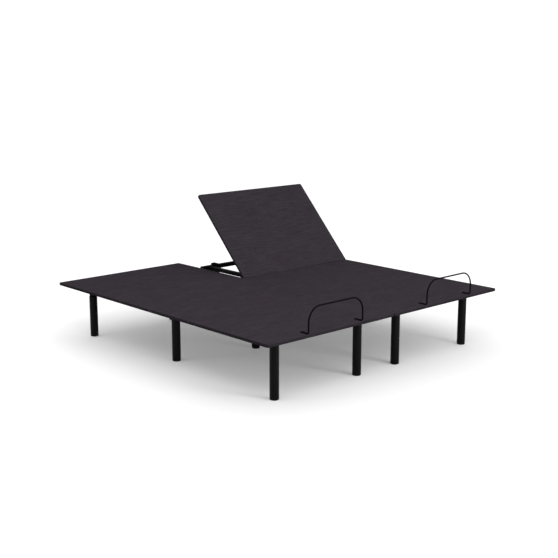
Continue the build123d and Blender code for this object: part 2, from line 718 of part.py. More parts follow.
def leg_links():
    """Flat bars as long as the thigh section, which carry the calf section parallel to it."""
    outline = Pos((LINK_FRAME_Y + LINK_CALF_Y) / 2, LINK_Z) * SlotCenterToCenter(THIGH_SECTION, LINK_HEIGHT)
    outline -= Pos(LINK_FRAME_Y, LINK_Z) * Circle(LINK_PIN_RADIUS + RUNNING_CLEARANCE)
    outline -= Pos(LINK_CALF_Y, LINK_Z) * Circle(LINK_PIN_RADIUS + LINK_OPEN_CLEARANCE)
    return [plate_x(outline, side * LINK_LINE, LINK_THICK) for side in (-1, 1)]


def along(rear_y, direction, *distances):
    """Places along a drive line, counted from the actuator's rear pin."""
    return tuple(rear_y + direction * distance for distance in distances)


def actuator(drive_x, rear_y, direction, travel):
    """The housing of an actuator: rear lug, gearbox, motor and the tube that guides the rod."""
    half = GEARBOX_WIDTH / 2
    gear_span = along(rear_y, direction, GEARBOX_START, GEARBOX_START + GEARBOX_LENGTH)
    heights = (DRIVE_Z - GEARBOX_HEIGHT / 2, DRIVE_Z + GEARBOX_HEIGHT / 2)
    motor_x = drive_x + MOTOR_SIDE_OFFSET
    gearbox = block((drive_x - half, motor_x + MOTOR_RADIUS), gear_span, heights)
    gearbox = fillet(gearbox.edges().filter_by(Axis.Y), GEARBOX_EDGE_RADIUS)
    motor_end = GEARBOX_START + GEARBOX_LENGTH + MOTOR_LENGTH
    motor_span = along(rear_y, direction, GEARBOX_START + GEARBOX_LENGTH, motor_end)
    motor = rod_y(MOTOR_RADIUS, motor_span, motor_x, DRIVE_Z)
    far_rim = motor.edges().filter_by(GeomType.CIRCLE).sort_by(Axis.Y)[-1 if direction > 0 else 0]
    motor = fillet(far_rim, MOTOR_EDGE_RADIUS)
    band_start = GEARBOX_START + GEARBOX_LENGTH
    band_span = along(rear_y, direction, band_start, band_start + MOTOR_BAND_LENGTH)
    motor += rod_y(MOTOR_RADIUS + MOTOR_BAND_STEP, band_span, motor_x, DRIVE_Z)
    tube_end = DRIVE_CLOSED_LENGTH - EYE_RADIUS - EYE_NECK - DRIVE_TUBE_GAP
    tube = rod_y(DRIVE_TUBE_RADIUS, along(rear_y, direction, GEARBOX_START, tube_end), drive_x, DRIVE_Z)
    collar_span = along(rear_y, direction, tube_end - COLLAR_LENGTH, tube_end)
    tube += rod_y(DRIVE_TUBE_RADIUS + COLLAR_STEP, collar_span, drive_x, DRIVE_Z)
    lug = Pos(rear_y, DRIVE_Z) * Circle(LUG_RADIUS)
    root = along(rear_y, direction, GEARBOX_START / 2)[0]
    lug += Pos(root, DRIVE_Z) * Rectangle(GEARBOX_START, 2 * LUG_RADIUS)
    lug -= Pos(rear_y, DRIVE_Z) * Circle(REAR_PIN_RADIUS + RUNNING_CLEARANCE)
    housing = gearbox + motor + tube + plate_x(lug, drive_x, LUG_WIDTH)
    bore_start = tube_end - rod_inside(travel) - ROD_TAIL_ROOM
    bore = along(rear_y, direction, bore_start, tube_end)
    return housing - rod_y(ROD_RADIUS + RUNNING_CLEARANCE, bore, drive_x, DRIVE_Z)


def rod_inside(travel):
    """Length of rod that the guide tube holds when the rod is drawn in."""
    return pin_place(travel, travel) - pin_place(0, travel) + ROD_GRIP


def actuator_rod(drive_x, pin_y, direction, travel):
    """The rod with its flat eye, and the cross pin that runs in the cranks."""
    neck = pin_y - direction * (EYE_RADIUS + EYE_NECK)
    tail = neck - direction * (DRIVE_TUBE_GAP + rod_inside(travel))
    rod = rod_y(ROD_RADIUS, (neck, tail), drive_x, DRIVE_Z)
    eye = Pos(pin_y, DRIVE_Z) * Circle(EYE_RADIUS)
    eye += Pos((pin_y + neck) / 2, DRIVE_Z) * Rectangle(abs(pin_y - neck), 2 * ROD_RADIUS)
    eye -= Pos(pin_y, DRIVE_Z) * Circle(DRIVE_PIN_RADIUS + RUNNING_CLEARANCE)
    eye_plate = plate_x(eye, drive_x, CRANK_SPACING - 2 * EYE_SIDE_GAP)
    reach = CRANK_SPACING / 2 + CRANK_THICK + DRIVE_PIN_OVERHANG
    pin = rod_x(DRIVE_PIN_RADIUS, (drive_x - reach, drive_x + reach), pin_y, DRIVE_Z)
    return [rod + eye_plate, pin]


def rear_bracket(drive_x, rear_y):
    """Two plates under a drive rail and the pin that holds the actuator's lug between them."""
    lip = Pos(rear_y, DRIVE_RAIL_UNDER - REAR_PLATE_LIP / 2) * Rectangle(REAR_PLATE_WIDTH, REAR_PLATE_LIP)
    outline = make_hull((Sketch() + lip + Pos(rear_y, DRIVE_Z) * Circle(LUG_RADIUS)).edges())
    outline -= Pos(rear_y, DRIVE_Z) * Circle(REAR_PIN_RADIUS + RUNNING_CLEARANCE)
    offset = LUG_WIDTH / 2 + REAR_PLATE_GAP + REAR_PLATE_THICK / 2
    parts = [plate_x(outline, drive_x + side * offset, REAR_PLATE_THICK) for side in (-1, 1)]
    reach = offset + REAR_PLATE_THICK / 2 + REAR_PIN_OVERHANG
    return parts + [rod_x(REAR_PIN_RADIUS, (drive_x - reach, drive_x + reach), rear_y, DRIVE_Z)]


def control_box():
    """The housing of the electronics under the drive rail of the leg actuator, with sockets for leads."""
    across = (BOX_CENTRE_X - BOX_WIDTH / 2, BOX_CENTRE_X + BOX_WIDTH / 2)
    lengths = (LEG_REAR_Y - BOX_LENGTH / 2, LEG_REAR_Y + BOX_LENGTH / 2)
    heights = (DRIVE_RAIL_UNDER - BOX_HEIGHT, DRIVE_RAIL_UNDER)
    box = block(across, lengths, heights)
    box = fillet(box.edges().filter_by(Axis.Z) + box.faces().sort_by(Axis.Z)[0].edges(), BOX_EDGE_RADIUS)
    middle = (heights[0] + heights[1]) / 2
    for index in range(SOCKET_COUNT):
        x = BOX_CENTRE_X + (index - (SOCKET_COUNT - 1) / 2) * SOCKET_PITCH
        mouth = (lengths[0], lengths[0] + SOCKET_DEPTH)
        socket = (middle - SOCKET_HEIGHT / 2, middle + SOCKET_HEIGHT / 2)
        box -= block((x - SOCKET_WIDTH / 2, x + SOCKET_WIDTH / 2), mouth, socket)
    return box


def retainer_bar():
    """A bent rod that stands at the foot edge, with two feet that lie on the deck."""
    low = DECK_HEIGHT + BAR_RADIUS
    high = DECK_HEIGHT + BAR_HEIGHT - BAR_RADIUS
    edge = FOOT_END + BAR_RADIUS
    tip = edge + BAR_FOOT_LENGTH
    left, right = BAR_FEET
    points = [
        (left, tip, low),
        (left, edge, low),
        (left, edge, high),
        (right, edge, high),
        (right, edge, low),
        (right, tip, low),
    ]
    radii = [BAR_FOOT_BEND, BAR_CORNER_RADIUS, BAR_CORNER_RADIUS, BAR_FOOT_BEND]
    path = FilletPolyline(*points, radius=radii)
    bar = sweep(Plane(points[0], z_dir=(0, -1, 0)) * Circle(BAR_RADIUS), path)
    hole = (DECK_HEIGHT, DECK_HEIGHT + BAR_BOLT_DEPTH)
    return bar - bar_bolt_holes(BAR_BOLT_RADIUS + BAR_BOLT_CLEARANCE, hole)


def retainer_bolts():
    """Bolts from below, through the calf board into the feet of the bar."""
    bolts = []
    for x in BAR_FEET:
        shank = rod_z(BAR_BOLT_RADIUS, (BOARD_UNDER, DECK_HEIGHT + BAR_BOLT_DEPTH), x, BAR_BOLT_Y)
        head = rod_z(BAR_BOLT_HEAD_RADIUS, (BOARD_UNDER - BAR_BOLT_HEAD, BOARD_UNDER), x, BAR_BOLT_Y)
        bolts.append(shank + head)
    return bolts


nodes = {}


def add(name, parts, x):
    """Put parts of a half into a node, moved to their half."""
    nodes.setdefault(name, []).extend(shift(parts, x))


for side, x in HALVES.items():
    # Fixed pieces of both halves share their nodes
    add("side_rails", side_rails(), x)
    rails = [end_rail(HEAD_RAIL_Y), foot_rail(), drive_rail(HEAD_REAR_Y), drive_rail(LEG_REAR_Y)]
    add("cross_rails", rails, x)
    add("rail_end_caps", rail_caps(), x)
    add("mid_leg_brackets", [mid_leg_bracket(*place) for place in mid_legs()], x)
    add("head_leg_brackets", [head_leg_bracket(*place) for place in corner_legs(HEAD_RAIL_Y)], x)
    add("legs", [leg(*place) for place in leg_places()], x)
    add("leg_glides", [leg_glide(*place[:2]) for place in leg_places()], x)
    add("leg_studs", [leg_stud(*place) for place in leg_places()], x)
    add("rest_pads", rest_pads(), x)
    add("link_brackets", frame_link_plates(), x)
    brackets = rear_bracket(HEAD_DRIVE_X, HEAD_REAR_Y) + rear_bracket(LEG_DRIVE_X, LEG_REAR_Y)
    add("actuator_brackets", brackets, x)
    add("head_actuators", [actuator(HEAD_DRIVE_X, HEAD_REAR_Y, 1, HEAD_TRAVEL)], x)
    add("leg_actuators", [actuator(LEG_DRIVE_X, LEG_REAR_Y, -1, THIGH_TRAVEL)], x)
    add("control_boxes", [control_box()], x)
    add("seat_boards", [deck_board("seat")], x)
    add("seat_covers", [deck_cover("seat")], x)
    fixed_leaves = hinge_leaves(HEAD_PIVOT_Y, -1, False) + hinge_leaves(THIGH_PIVOT_Y, 1, False)
    add("seat_hinge_leaves", fixed_leaves, x)
    add("seat_hinge_pins", hinge_pins(HEAD_PIVOT_Y) + hinge_pins(THIGH_PIVOT_Y), x)

    # Head section, turned up to the angle that its half stands at
    angle = HEAD_ANGLES[side]
    add(side + "_head_board", raised([deck_board("head")], angle), x)
    add(side + "_head_cover", raised([deck_cover("head")], angle), x)
    add(side + "_head_hinge_leaves", raised(hinge_leaves(HEAD_PIVOT_Y, 1, True), angle), x)
    add(side + "_head_frame", raised(head_frame(), angle), x)
    head_pin_y = HEAD_PIVOT_Y + pin_place(angle, HEAD_TRAVEL)
    add(side + "_head_rod", actuator_rod(HEAD_DRIVE_X, head_pin_y, 1, HEAD_TRAVEL), x)
    add(side + "_head_fold_strip", [fold_strip(HEAD_PIVOT_Y, HEAD_HALF_GAP, angle)], x)

    # Thigh section
    add(side + "_thigh_board", [deck_board("thigh")], x)
    add(side + "_thigh_cover", [deck_cover("thigh")], x)
    thigh_leaves = hinge_leaves(THIGH_PIVOT_Y, -1, True) + hinge_leaves(KNEE_PIVOT_Y, 1, False)
    add(side + "_thigh_hinge_leaves", thigh_leaves + hinge_pins(KNEE_PIVOT_Y), x)
    add(side + "_thigh_frame", thigh_frame(), x)
    leg_pin_y = THIGH_PIVOT_Y - pin_place(0, THIGH_TRAVEL)
    add(side + "_leg_rod", actuator_rod(LEG_DRIVE_X, leg_pin_y, -1, THIGH_TRAVEL), x)
    add(side + "_thigh_fold_strip", [fold_strip(THIGH_PIVOT_Y, THIGH_HALF_GAP, 0)], x)

    # Calf section
    add(side + "_calf_board", [deck_board("calf")], x)
    add(side + "_calf_cover", [deck_cover("calf")], x)
    add(side + "_calf_hinge_leaves", hinge_leaves(KNEE_PIVOT_Y, -1, True), x)
    add(side + "_calf_frame", calf_frame(), x)
    add(side + "_leg_links", leg_links(), x)
    add(side + "_knee_fold_strip", [fold_strip(KNEE_PIVOT_Y, KNEE_HALF_GAP, 0)], x)
    add(side + "_retainer_bar", [retainer_bar()], x)
    add(side + "_retainer_bolts", retainer_bolts(), x)

os.makedirs("parts", exist_ok=True)
for name, parts in nodes.items():
    solids = [solid for part in parts for solid in part.solids()]
    export_step(Compound(children=solids), "parts/" + name + ".step")
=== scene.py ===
"""Studio scene of a split adjustable bed base: two long halves, the head section of the right one raised."""
import json
import logging
import math
from dataclasses import dataclass, field
from enum import Enum
from typing import Iterable, Protocol

import bmesh
import bpy
from mathutils import Matrix, Vector


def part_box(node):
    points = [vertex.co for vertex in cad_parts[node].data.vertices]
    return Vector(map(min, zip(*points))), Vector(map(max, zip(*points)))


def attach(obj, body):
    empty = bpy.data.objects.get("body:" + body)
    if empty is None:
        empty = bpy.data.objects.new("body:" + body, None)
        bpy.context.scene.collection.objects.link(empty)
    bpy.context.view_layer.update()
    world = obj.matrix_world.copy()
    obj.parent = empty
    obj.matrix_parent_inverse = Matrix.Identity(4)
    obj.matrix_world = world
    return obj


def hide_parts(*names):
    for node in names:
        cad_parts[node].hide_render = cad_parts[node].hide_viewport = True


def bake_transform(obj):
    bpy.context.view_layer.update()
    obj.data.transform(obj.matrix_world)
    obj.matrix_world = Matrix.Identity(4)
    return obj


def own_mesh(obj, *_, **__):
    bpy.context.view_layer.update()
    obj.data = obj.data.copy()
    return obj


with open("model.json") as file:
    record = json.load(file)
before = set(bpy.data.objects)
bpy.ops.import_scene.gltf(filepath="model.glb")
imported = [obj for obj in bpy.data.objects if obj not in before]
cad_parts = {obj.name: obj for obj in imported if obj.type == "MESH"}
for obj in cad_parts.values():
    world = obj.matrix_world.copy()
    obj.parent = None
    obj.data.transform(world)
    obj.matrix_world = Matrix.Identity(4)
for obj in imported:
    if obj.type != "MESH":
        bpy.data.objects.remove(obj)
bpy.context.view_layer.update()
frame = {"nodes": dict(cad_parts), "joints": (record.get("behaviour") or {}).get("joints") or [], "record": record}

LOG = logging.getLogger("bed_base")
BASE = "base"

# Map that the cloth's meshes carry and its material reads, and the mask of painted shade that darkens the cloth on
# the boards' sides, less on their ends
WEAVE_MAP = "weave"
SIDE_SHADE_MASK = "painted_side_shade"
END_SHADE_SHARE = 0.5

# Sizes that the covers, the fold strips and the staples share, in metres
CLOTH = 0.0010
CLOTH_EDGE = 0.0015
CLOTH_EDGE_STEPS = 3
CLOTH_MARGIN = 0.0015
HEM_DROP = 0.0006

# Axes, limits of what counts as equal, angles in radians and the shape of roundings
X, Y, Z = range(3)
TINY = 1e-6
SAME_POINT = 1e-5
SORT_DIGITS = 4
FACING = 0.9
SMOOTH_UNDER = math.radians(40)
QUARTER_TURN = math.pi / 2
ROUND_PROFILE = 0.5

Triple = tuple[float, float, float]
Span = tuple[float, float]
Box = tuple[Vector, Vector]
Mesh = bmesh.types.BMesh
Piece = bpy.types.Object
Node = bpy.types.Node
Socket = bpy.types.NodeSocket
Vert = bmesh.types.BMVert
Edge = bmesh.types.BMEdge
Face = bmesh.types.BMFace

# Sockets of a surface's colour, of its place in the range of roughness and of its height
Surface = tuple[Socket, Socket, Socket]

UNIT: Span = (0.0, 1.0)


class Side(Enum):
    """One half of the bed."""

    LEFT = "left"
    RIGHT = "right"


class Section(Enum):
    """One board of the deck, from the head end to the foot end."""

    HEAD = "head"
    SEAT = "seat"
    THIGH = "thigh"
    CALF = "calf"


class Fold(Enum):
    """One hinge line of the deck."""

    HEAD = ("head", Section.SEAT, Section.HEAD, "head_tilt")
    THIGH = ("thigh", Section.SEAT, Section.THIGH, "thigh_tilt")
    KNEE = ("knee", Section.THIGH, Section.CALF, "calf_level")

    def __init__(self, word: str, still: Section, turning: Section, joint: str) -> None:
        """Keeps what the fold joins.

        Args:
            word: The fold's word in names of nodes.
            still: The section that it turns about.
            turning: The section that turns.
            joint: The joint's name, without its side.
        """
        self.word = word
        self.still = still
        self.turning = turning
        self.joint = joint


class Slot(Enum):
    """Material slots of the record."""

    FABRIC = "deck_fabric"
    PLYWOOD = "plywood"
    FRAME = "frame_black"
    LEG = "leg_black"
    PLASTIC = "black_plastic"
    HOUSING = "housing_plastic"
    RUBBER = "rubber"
    ROD = "rod_steel"
    ZINC = "zinc_steel"


class Effect(Enum):
    """Surface effects that are node groups."""

    WEAVE = "slub_weave"
    GRAIN = "fine_grain"


class Nodes:
    """A shader or group node tree that is filled node by node."""

    # Numbers of the Mix node's colour sockets
    MIX_DARK = 6
    MIX_LIGHT = 7
    MIX_RESULT = 2

    def __init__(self, tree: bpy.types.NodeTree) -> None:
        """Keeps the tree to fill."""
        self.tree = tree

    def add(self, kind: str, **settings: object) -> Node:
        """Adds a node and sets its properties.

        Args:
            kind: The node type's name, without the ShaderNode prefix.
            settings: Properties of the node.

        Returns:
            The new node.
        """
        node = self.tree.nodes.new("ShaderNode" + kind)
        for key, value in settings.items():
            setattr(node, key, value)
        return node

    def join(self, source: Socket, target: Socket) -> None:
        """Links an output to an input."""
        self.tree.links.new(source, target)

    def feed(self, node: Node, values: dict) -> Node:
        """Fills inputs of a node by name or number.

        Args:
            node: The node.
            values: Input name or number to a plain value or to an output socket.

        Returns:
            The same node.
        """
        for key, value in values.items():
            if isinstance(value, Socket):
                self.join(value, node.inputs[key])
            else:
                node.inputs[key].default_value = value
        return node

    def math(self, operation: str, *values: float | Socket) -> Socket:
        """Adds a Math node that takes numbers or sockets, and gives its result."""
        node = self.add("Math", operation=operation)
        return self.feed(node, dict(enumerate(values))).outputs[0]

    def noise(self, vector: Socket, scale: float | Socket, detail: float) -> Socket:
        """Adds a noise texture that is read at a vector, and gives its value."""
        node = self.add("TexNoise")
        return self.feed(node, {"Vector": vector, "Scale": scale, "Detail": detail}).outputs[0]

    def streaks(self, vector: Socket, scales: Triple, detail: float) -> Socket:
        """Adds a noise texture with a scale of its own on each axis, and gives its value."""
        drawn = self.feed(self.add("Mapping"), {"Vector": vector, "Scale": scales})
        return self.noise(drawn.outputs[0], 1.0, detail)

    def spread(self, value: Socket, read: Span, to: Span) -> Socket:
        """Maps a value from the range that is read to another range, and gives the result."""
        node = self.add("MapRange")
        return self.feed(node, dict(enumerate((value, *read, *to)))).outputs[0]

    def tint(self, factor: Socket, dark: Triple, light: Triple) -> Socket:
        """Mixes a dark colour, at 0, with a light one, at 1, and gives the result."""
        values = {0: factor, self.MIX_DARK: (*dark, 1.0), self.MIX_LIGHT: (*light, 1.0)}
        return self.feed(self.add("Mix", data_type="RGBA"), values).outputs[self.MIX_RESULT]


class SurfaceGroups:
    """Shader node groups of the surface effects, each built once."""

    # Scales along the bed's width and length of each kind of slub, and how much it counts
    SLUBS: tuple[tuple[Triple, float], ...] = (
        ((7.0, 150.0, 1.0), 0.9),
        ((26.0, 520.0, 1.0), 0.9),
        ((240.0, 9.0, 1.0), 0.35),
        ((5.0, 9.0, 1.0), 0.25),
    )
    SLUB_DETAIL = 2.0
    SLUB_MEAN = 0.5
    BASE_TONE = 0.35
    THREAD_TONE = 0.37
    GRAIN_DETAIL = 3.0
    PATCH_SCALE = 14.0
    PATCH_RANGE: Span = (0.3, 0.7)

    @classmethod
    def get(cls, effect: Effect) -> bpy.types.NodeTree:
        """Gives an effect's group, building it at its first use."""
        builders = {Effect.WEAVE: cls.weave, Effect.GRAIN: cls.grain}
        return bpy.data.node_groups.get(effect.value) or builders[effect]()

    @staticmethod
    def start(effect: Effect, inputs: dict[str, str], outputs: Iterable[str]) -> tuple[Nodes, Node, Node]:
        """Makes an empty group with its sockets.

        Args:
            effect: The group's effect.
            inputs: Socket name to socket type, without the NodeSocket prefix.
            outputs: Names of the value outputs.

        Returns:
            The group's nodes, its input node and its output node.
        """
        tree = bpy.data.node_groups.new(effect.value, "ShaderNodeTree")
        for label, kind in inputs.items():
            tree.interface.new_socket(label, in_out="INPUT", socket_type="NodeSocket" + kind)
        for label in outputs:
            tree.interface.new_socket(label, in_out="OUTPUT", socket_type="NodeSocketFloat")
        return Nodes(tree), tree.nodes.new("NodeGroupInput"), tree.nodes.new("NodeGroupOutput")

    @classmethod
    def weave(cls) -> bpy.types.NodeTree:
        """Builds a plain weave with thick and thin threads.

        Returns:
            The group: Vector, Threads, Slub in; Tone, Height out.
        """
        sockets = {"Vector": "Vector", "Threads": "Float", "Slub": "Float"}
        nodes, source, result = cls.start(Effect.WEAVE, sockets, ("Tone", "Height"))
        vector, threads, slub = (source.outputs[label] for label in sockets)
        streak: float | Socket = 0.0
        for scales, weight in cls.SLUBS:
            noise = nodes.streaks(vector, scales, cls.SLUB_DETAIL)
            centred = nodes.math("SUBTRACT", noise, cls.SLUB_MEAN)
            streak = nodes.math("MULTIPLY_ADD", centred, weight, streak)
        axes = nodes.feed(nodes.add("SeparateXYZ"), {0: vector})
        turn = nodes.math("MULTIPLY", threads, math.pi)
        waves = [nodes.math("SINE", nodes.math("MULTIPLY", axes.outputs[axis], turn)) for axis in (X, Y)]
        thread = nodes.math("MULTIPLY", *[nodes.math("ABSOLUTE", wave) for wave in waves])
        tone = nodes.math("MULTIPLY_ADD", streak, slub, cls.BASE_TONE)
        tone = nodes.math("MULTIPLY_ADD", thread, cls.THREAD_TONE, tone)
        nodes.join(nodes.feed(nodes.add("Clamp"), {0: tone}).outputs[0], result.inputs["Tone"])
        nodes.join(nodes.math("MULTIPLY_ADD", streak, slub, thread), result.inputs["Height"])
        return nodes.tree

    @classmethod
    def grain(cls) -> bpy.types.NodeTree:
        """Builds the fine unevenness of a coated, moulded or ground surface.

        Returns:
            The group: Vector, Scale, Stretch in; Patch, Height out.
        """
        sockets = {"Vector": "Vector", "Scale": "Float", "Stretch": "Vector"}
        nodes, source, result = cls.start(Effect.GRAIN, sockets, ("Patch", "Height"))
        vector, scale, stretch = (source.outputs[label] for label in sockets)
        drawn = nodes.add("VectorMath", operation="MULTIPLY")
        nodes.feed(drawn, {0: vector, 1: stretch})
        fine = nodes.noise(drawn.outputs[0], scale, cls.GRAIN_DETAIL)
        wide = nodes.noise(drawn.outputs[0], cls.PATCH_SCALE, cls.GRAIN_DETAIL)
        nodes.join(nodes.spread(wide, cls.PATCH_RANGE, UNIT), result.inputs["Patch"])
        nodes.join(fine, result.inputs["Height"])
        return nodes.tree


@dataclass(frozen=True)
class Finish:
    """A finish: its colours and how it takes light."""

    slot: Slot
    dark: Triple
    light: Triple
    roughness: Span
    specular: float
    bump: float
    relief: float = 0.0001
    metallic: float = 0.0

    def surface(self, nodes: Nodes) -> Surface:
        """Builds what changes over the surface, in a material's nodes."""
        raise NotImplementedError

    def material(self) -> bpy.types.Material:
        """Makes the finish's material.

        Returns:
            The material.
        """
        material = bpy.data.materials.new(self.slot.value)
        material.use_nodes = True
        nodes = Nodes(material.node_tree)
        colour, share, height = self.surface(nodes)
        bump = nodes.add("Bump")
        nodes.feed(bump, {"Strength": self.bump, "Distance": self.relief, "Height": height})
        nodes.feed(material.node_tree.nodes["Principled BSDF"], {
            "Specular IOR Level": self.specular,
            "Metallic": self.metallic,
            "Base Color": colour,
            "Roughness": nodes.spread(share, UNIT, self.roughness),
            "Normal": bump.outputs[0],
        })
        return material


@dataclass(frozen=True)
class WovenFinish(Finish):
    """Upholstery cloth with slubs along the bed's width, with painted shade that darkens it on the boards' sides
    and ends.
    """

    threads: float = 900.0
    slub: float = 1.25
    # How dark the painted shade makes the cloth on the boards' sides
    edge: float = 0.66

    def surface(self, nodes: Nodes) -> Surface:
        """Builds the weave on the piece's own map.

        Args:
            nodes: The material's nodes.

        Returns:
            The surface's sockets.
        """
        place = nodes.add("UVMap", uv_map=WEAVE_MAP)
        weave = nodes.add("Group", node_tree=SurfaceGroups.get(Effect.WEAVE))
        nodes.feed(weave, {"Vector": place.outputs[0], "Threads": self.threads, "Slub": self.slub})
        tone = weave.outputs["Tone"]
        # Painted shade: the mask darkens the cloth's colour on the boards' sides and ends
        painted_side_shade = nodes.add("Attribute", attribute_name=SIDE_SHADE_MASK).outputs["Fac"]
        shade = nodes.spread(painted_side_shade, UNIT, (1.0, self.edge))
        colour = nodes.add("VectorMath", operation="SCALE")
        nodes.feed(colour, {0: nodes.tint(tone, self.dark, self.light), "Scale": shade})
        return colour.outputs[0], tone, weave.outputs["Height"]


@dataclass(frozen=True)
class GrainedFinish(Finish):
    """Powder coat, moulded plastic, rubber or ground metal."""

    scale: float = 900.0
    stretch: Triple = (1.0, 1.0, 1.0)

    def surface(self, nodes: Nodes) -> Surface:
        """Builds the grain on Object coordinates.

        Args:
            nodes: The material's nodes.

        Returns:
            The surface's sockets.
        """
        place = nodes.add("TexCoord").outputs["Object"]
        grain = nodes.add("Group", node_tree=SurfaceGroups.get(Effect.GRAIN))
        nodes.feed(grain, {"Vector": place, "Scale": self.scale, "Stretch": self.stretch})
        patch = grain.outputs["Patch"]
        return nodes.tint(patch, self.dark, self.light), patch, grain.outputs["Height"]


@dataclass(frozen=True)
class VeneerFinish(Finish):
    """Plywood with veneer grain along the bed's width."""

    lines: Triple = (3.0, 130.0, 40.0)
    line_detail: float = 5.0
    line_share: float = 0.6
    clouds: Triple = (2.0, 9.0, 9.0)
    cloud_detail: float = 3.0
    cloud_share: float = 0.5
    tones: Span = (0.35, 0.75)

    def surface(self, nodes: Nodes) -> Surface:
        """Builds the veneer on Object coordinates.

        Args:
            nodes: The material's nodes.

        Returns:
            The surface's sockets.
        """
        place = nodes.add("TexCoord").outputs["Object"]
        grain = nodes.streaks(place, self.lines, self.line_detail)
        cloud = nodes.streaks(place, self.clouds, self.cloud_detail)
        lines = nodes.math("MULTIPLY", grain, self.line_share)
        tone = nodes.math("MULTIPLY_ADD", cloud, self.cloud_share, lines)
        return nodes.tint(nodes.spread(tone, self.tones, UNIT), self.dark, self.light), grain, grain


FINISHES: tuple[Finish, ...] = (
    WovenFinish(
        Slot.FABRIC, (0.0204, 0.0169, 0.0210), (0.0478, 0.0400, 0.0493), (1.0, 0.9),
        specular=0.003, bump=0.3, relief=0.0003,
    ),
    VeneerFinish(
        Slot.PLYWOOD, (0.018, 0.017, 0.016), (0.040, 0.037, 0.035), (0.75, 0.6),
        specular=0.15, bump=0.2, relief=0.0002,
    ),
    GrainedFinish(
        Slot.FRAME, (0.0028, 0.0026, 0.0028), (0.0040, 0.0037, 0.0040), (0.48, 0.58),
        specular=0.015, bump=0.12,
    ),
    GrainedFinish(
        Slot.LEG, (0.0030, 0.0030, 0.0031), (0.0038, 0.0038, 0.0040), (0.33, 0.39),
        specular=0.065, bump=0.08,
    ),
    GrainedFinish(
        Slot.PLASTIC, (0.0045, 0.0045, 0.0048), (0.0070, 0.0070, 0.0073), (0.5, 0.6),
        specular=0.07, bump=0.25, scale=1600.0,
    ),
    GrainedFinish(
        Slot.HOUSING, (0.010, 0.010, 0.011), (0.015, 0.015, 0.016), (0.45, 0.58),
        specular=0.12, bump=0.25, scale=1600.0,
    ),
    GrainedFinish(
        Slot.RUBBER, (0.008, 0.008, 0.008), (0.013, 0.013, 0.013), (0.75, 0.9),
        specular=0.05, bump=0.3, relief=0.0002, scale=1100.0,
    ),
    GrainedFinish(
        Slot.ROD, (0.50, 0.50, 0.51), (0.62, 0.62, 0.63), (0.16, 0.28),
        specular=0.5, bump=0.1, relief=0.00005, metallic=1.0, scale=500.0, stretch=(4.0, 0.2, 4.0),
    ),
    GrainedFinish(
        Slot.ZINC, (0.42, 0.42, 0.43), (0.60, 0.60, 0.61), (0.28, 0.45),
        specular=0.5, bump=0.2, metallic=1.0, scale=350.0,
    ),
)


class Wardrobe:
    """Gives each slot its material, made once."""

    def __init__(self, finishes: Iterable[Finish]) -> None:
        """Makes the materials of all finishes."""
        self.materials = {finish.slot: finish.material() for finish in finishes}

    def coat(self, piece: Piece, slot: Slot) -> None:
        """Gives a piece its only material."""
        piece.data.materials.clear()
        piece.data.materials.append(self.materials[slot])

    def dress(self, piece: Piece, slot: Slot, body: str = "", node: str = "") -> None:
        """Gives a new piece its material and says where it belongs.

        Args:
            piece: The piece.
            slot: What it is made of.
            body: The body that it rides on, unless it bends between two.
            node: The CAD node that it stands for, if any.
        """
        self.coat(piece, slot)
        if node:
            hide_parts(node)
        if body:
            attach(piece, body)

    def dress_nodes(self) -> None:
        """Gives every CAD node the material of its slot in the record."""
        for part in frame["record"]["subparts"]:
            self.coat(frame["nodes"][part["node"]], Slot(part["material_slot"]))


def finished(bm: Mesh, name: str) -> Piece:
    """Makes an object of a bmesh and frees the bmesh.

    Args:
        bm: The mesh, in the bed's frame.
        name: The piece's name.

    Returns:
        The new object, at the origin.
    """
    bmesh.ops.recalc_face_normals(bm, faces=bm.faces[:])
    for face in bm.faces:
        face.smooth = True
    for edge in bm.edges:
        edge.smooth = len(edge.link_faces) == 2 and edge.calc_face_angle(0.0) < SMOOTH_UNDER
    mesh = bpy.data.meshes.new(name)
    bm.to_mesh(mesh)
    bm.free()
    piece = bpy.data.objects.new(name, mesh)
    bpy.context.scene.collection.objects.link(piece)
    return piece


def round_edges(bm: Mesh, edges: list[Edge], radius: float, segments: int) -> list[Vert]:
    """Rounds edges of a bmesh.

    Args:
        bm: The mesh.
        edges: The edges.
        radius: Radius of the rounding.
        segments: Steps of the rounding.

    Returns:
        The vertices of the rounding.
    """
    return bmesh.ops.bevel(
        bm, geom=edges, offset=radius, offset_type="OFFSET", affect="EDGES",
        segments=segments, profile=ROUND_PROFILE, material=-1, clamp_overlap=True,
    )["verts"]


def add_box(bm: Mesh, low: Vector, high: Vector) -> list[Vert]:
    """Adds a box between two corners.

    Args:
        bm: The mesh.
        low: Lowest corner.
        high: Highest corner.

    Returns:
        The box's vertices.
    """
    verts = bmesh.ops.create_cube(bm, size=1.0)["verts"]
    bmesh.ops.scale(bm, vec=high - low, verts=verts)
    bmesh.ops.translate(bm, vec=(low + high) / 2, verts=verts)
    return verts


def only(kind: type, parts: Iterable[Vert | Edge | Face]) -> list:
    """Gives the parts of a mesh that are of one kind."""
    return [part for part in parts if isinstance(part, kind)]


def edges_of(verts: Iterable[Vert]) -> list[Edge]:
    """Gives the edges at some vertices, each once."""
    return list(dict.fromkeys(edge for vert in verts for edge in vert.link_edges))


def goes_along(edge: Edge, axis: int) -> bool:
    """Tells whether an edge's ends lie apart on an axis."""
    return abs(edge.verts[0].co[axis] - edge.verts[1].co[axis]) > TINY


def lies_at(edge: Edge, axis: int, place: float) -> bool:
    """Tells whether both ends of an edge lie at a place on an axis."""
    return all(abs(vert.co[axis] - place) < TINY for vert in edge.verts)


def reaches_over(edge: Edge, level: float) -> bool:
    """Tells whether an edge reaches over a level."""
    return max(vert.co.z for vert in edge.verts) > level


def area_upwards(face: Face) -> float:
    """Gives a face's area as seen from above, negative for a face that looks down."""
    return face.normal.z * face.calc_area()


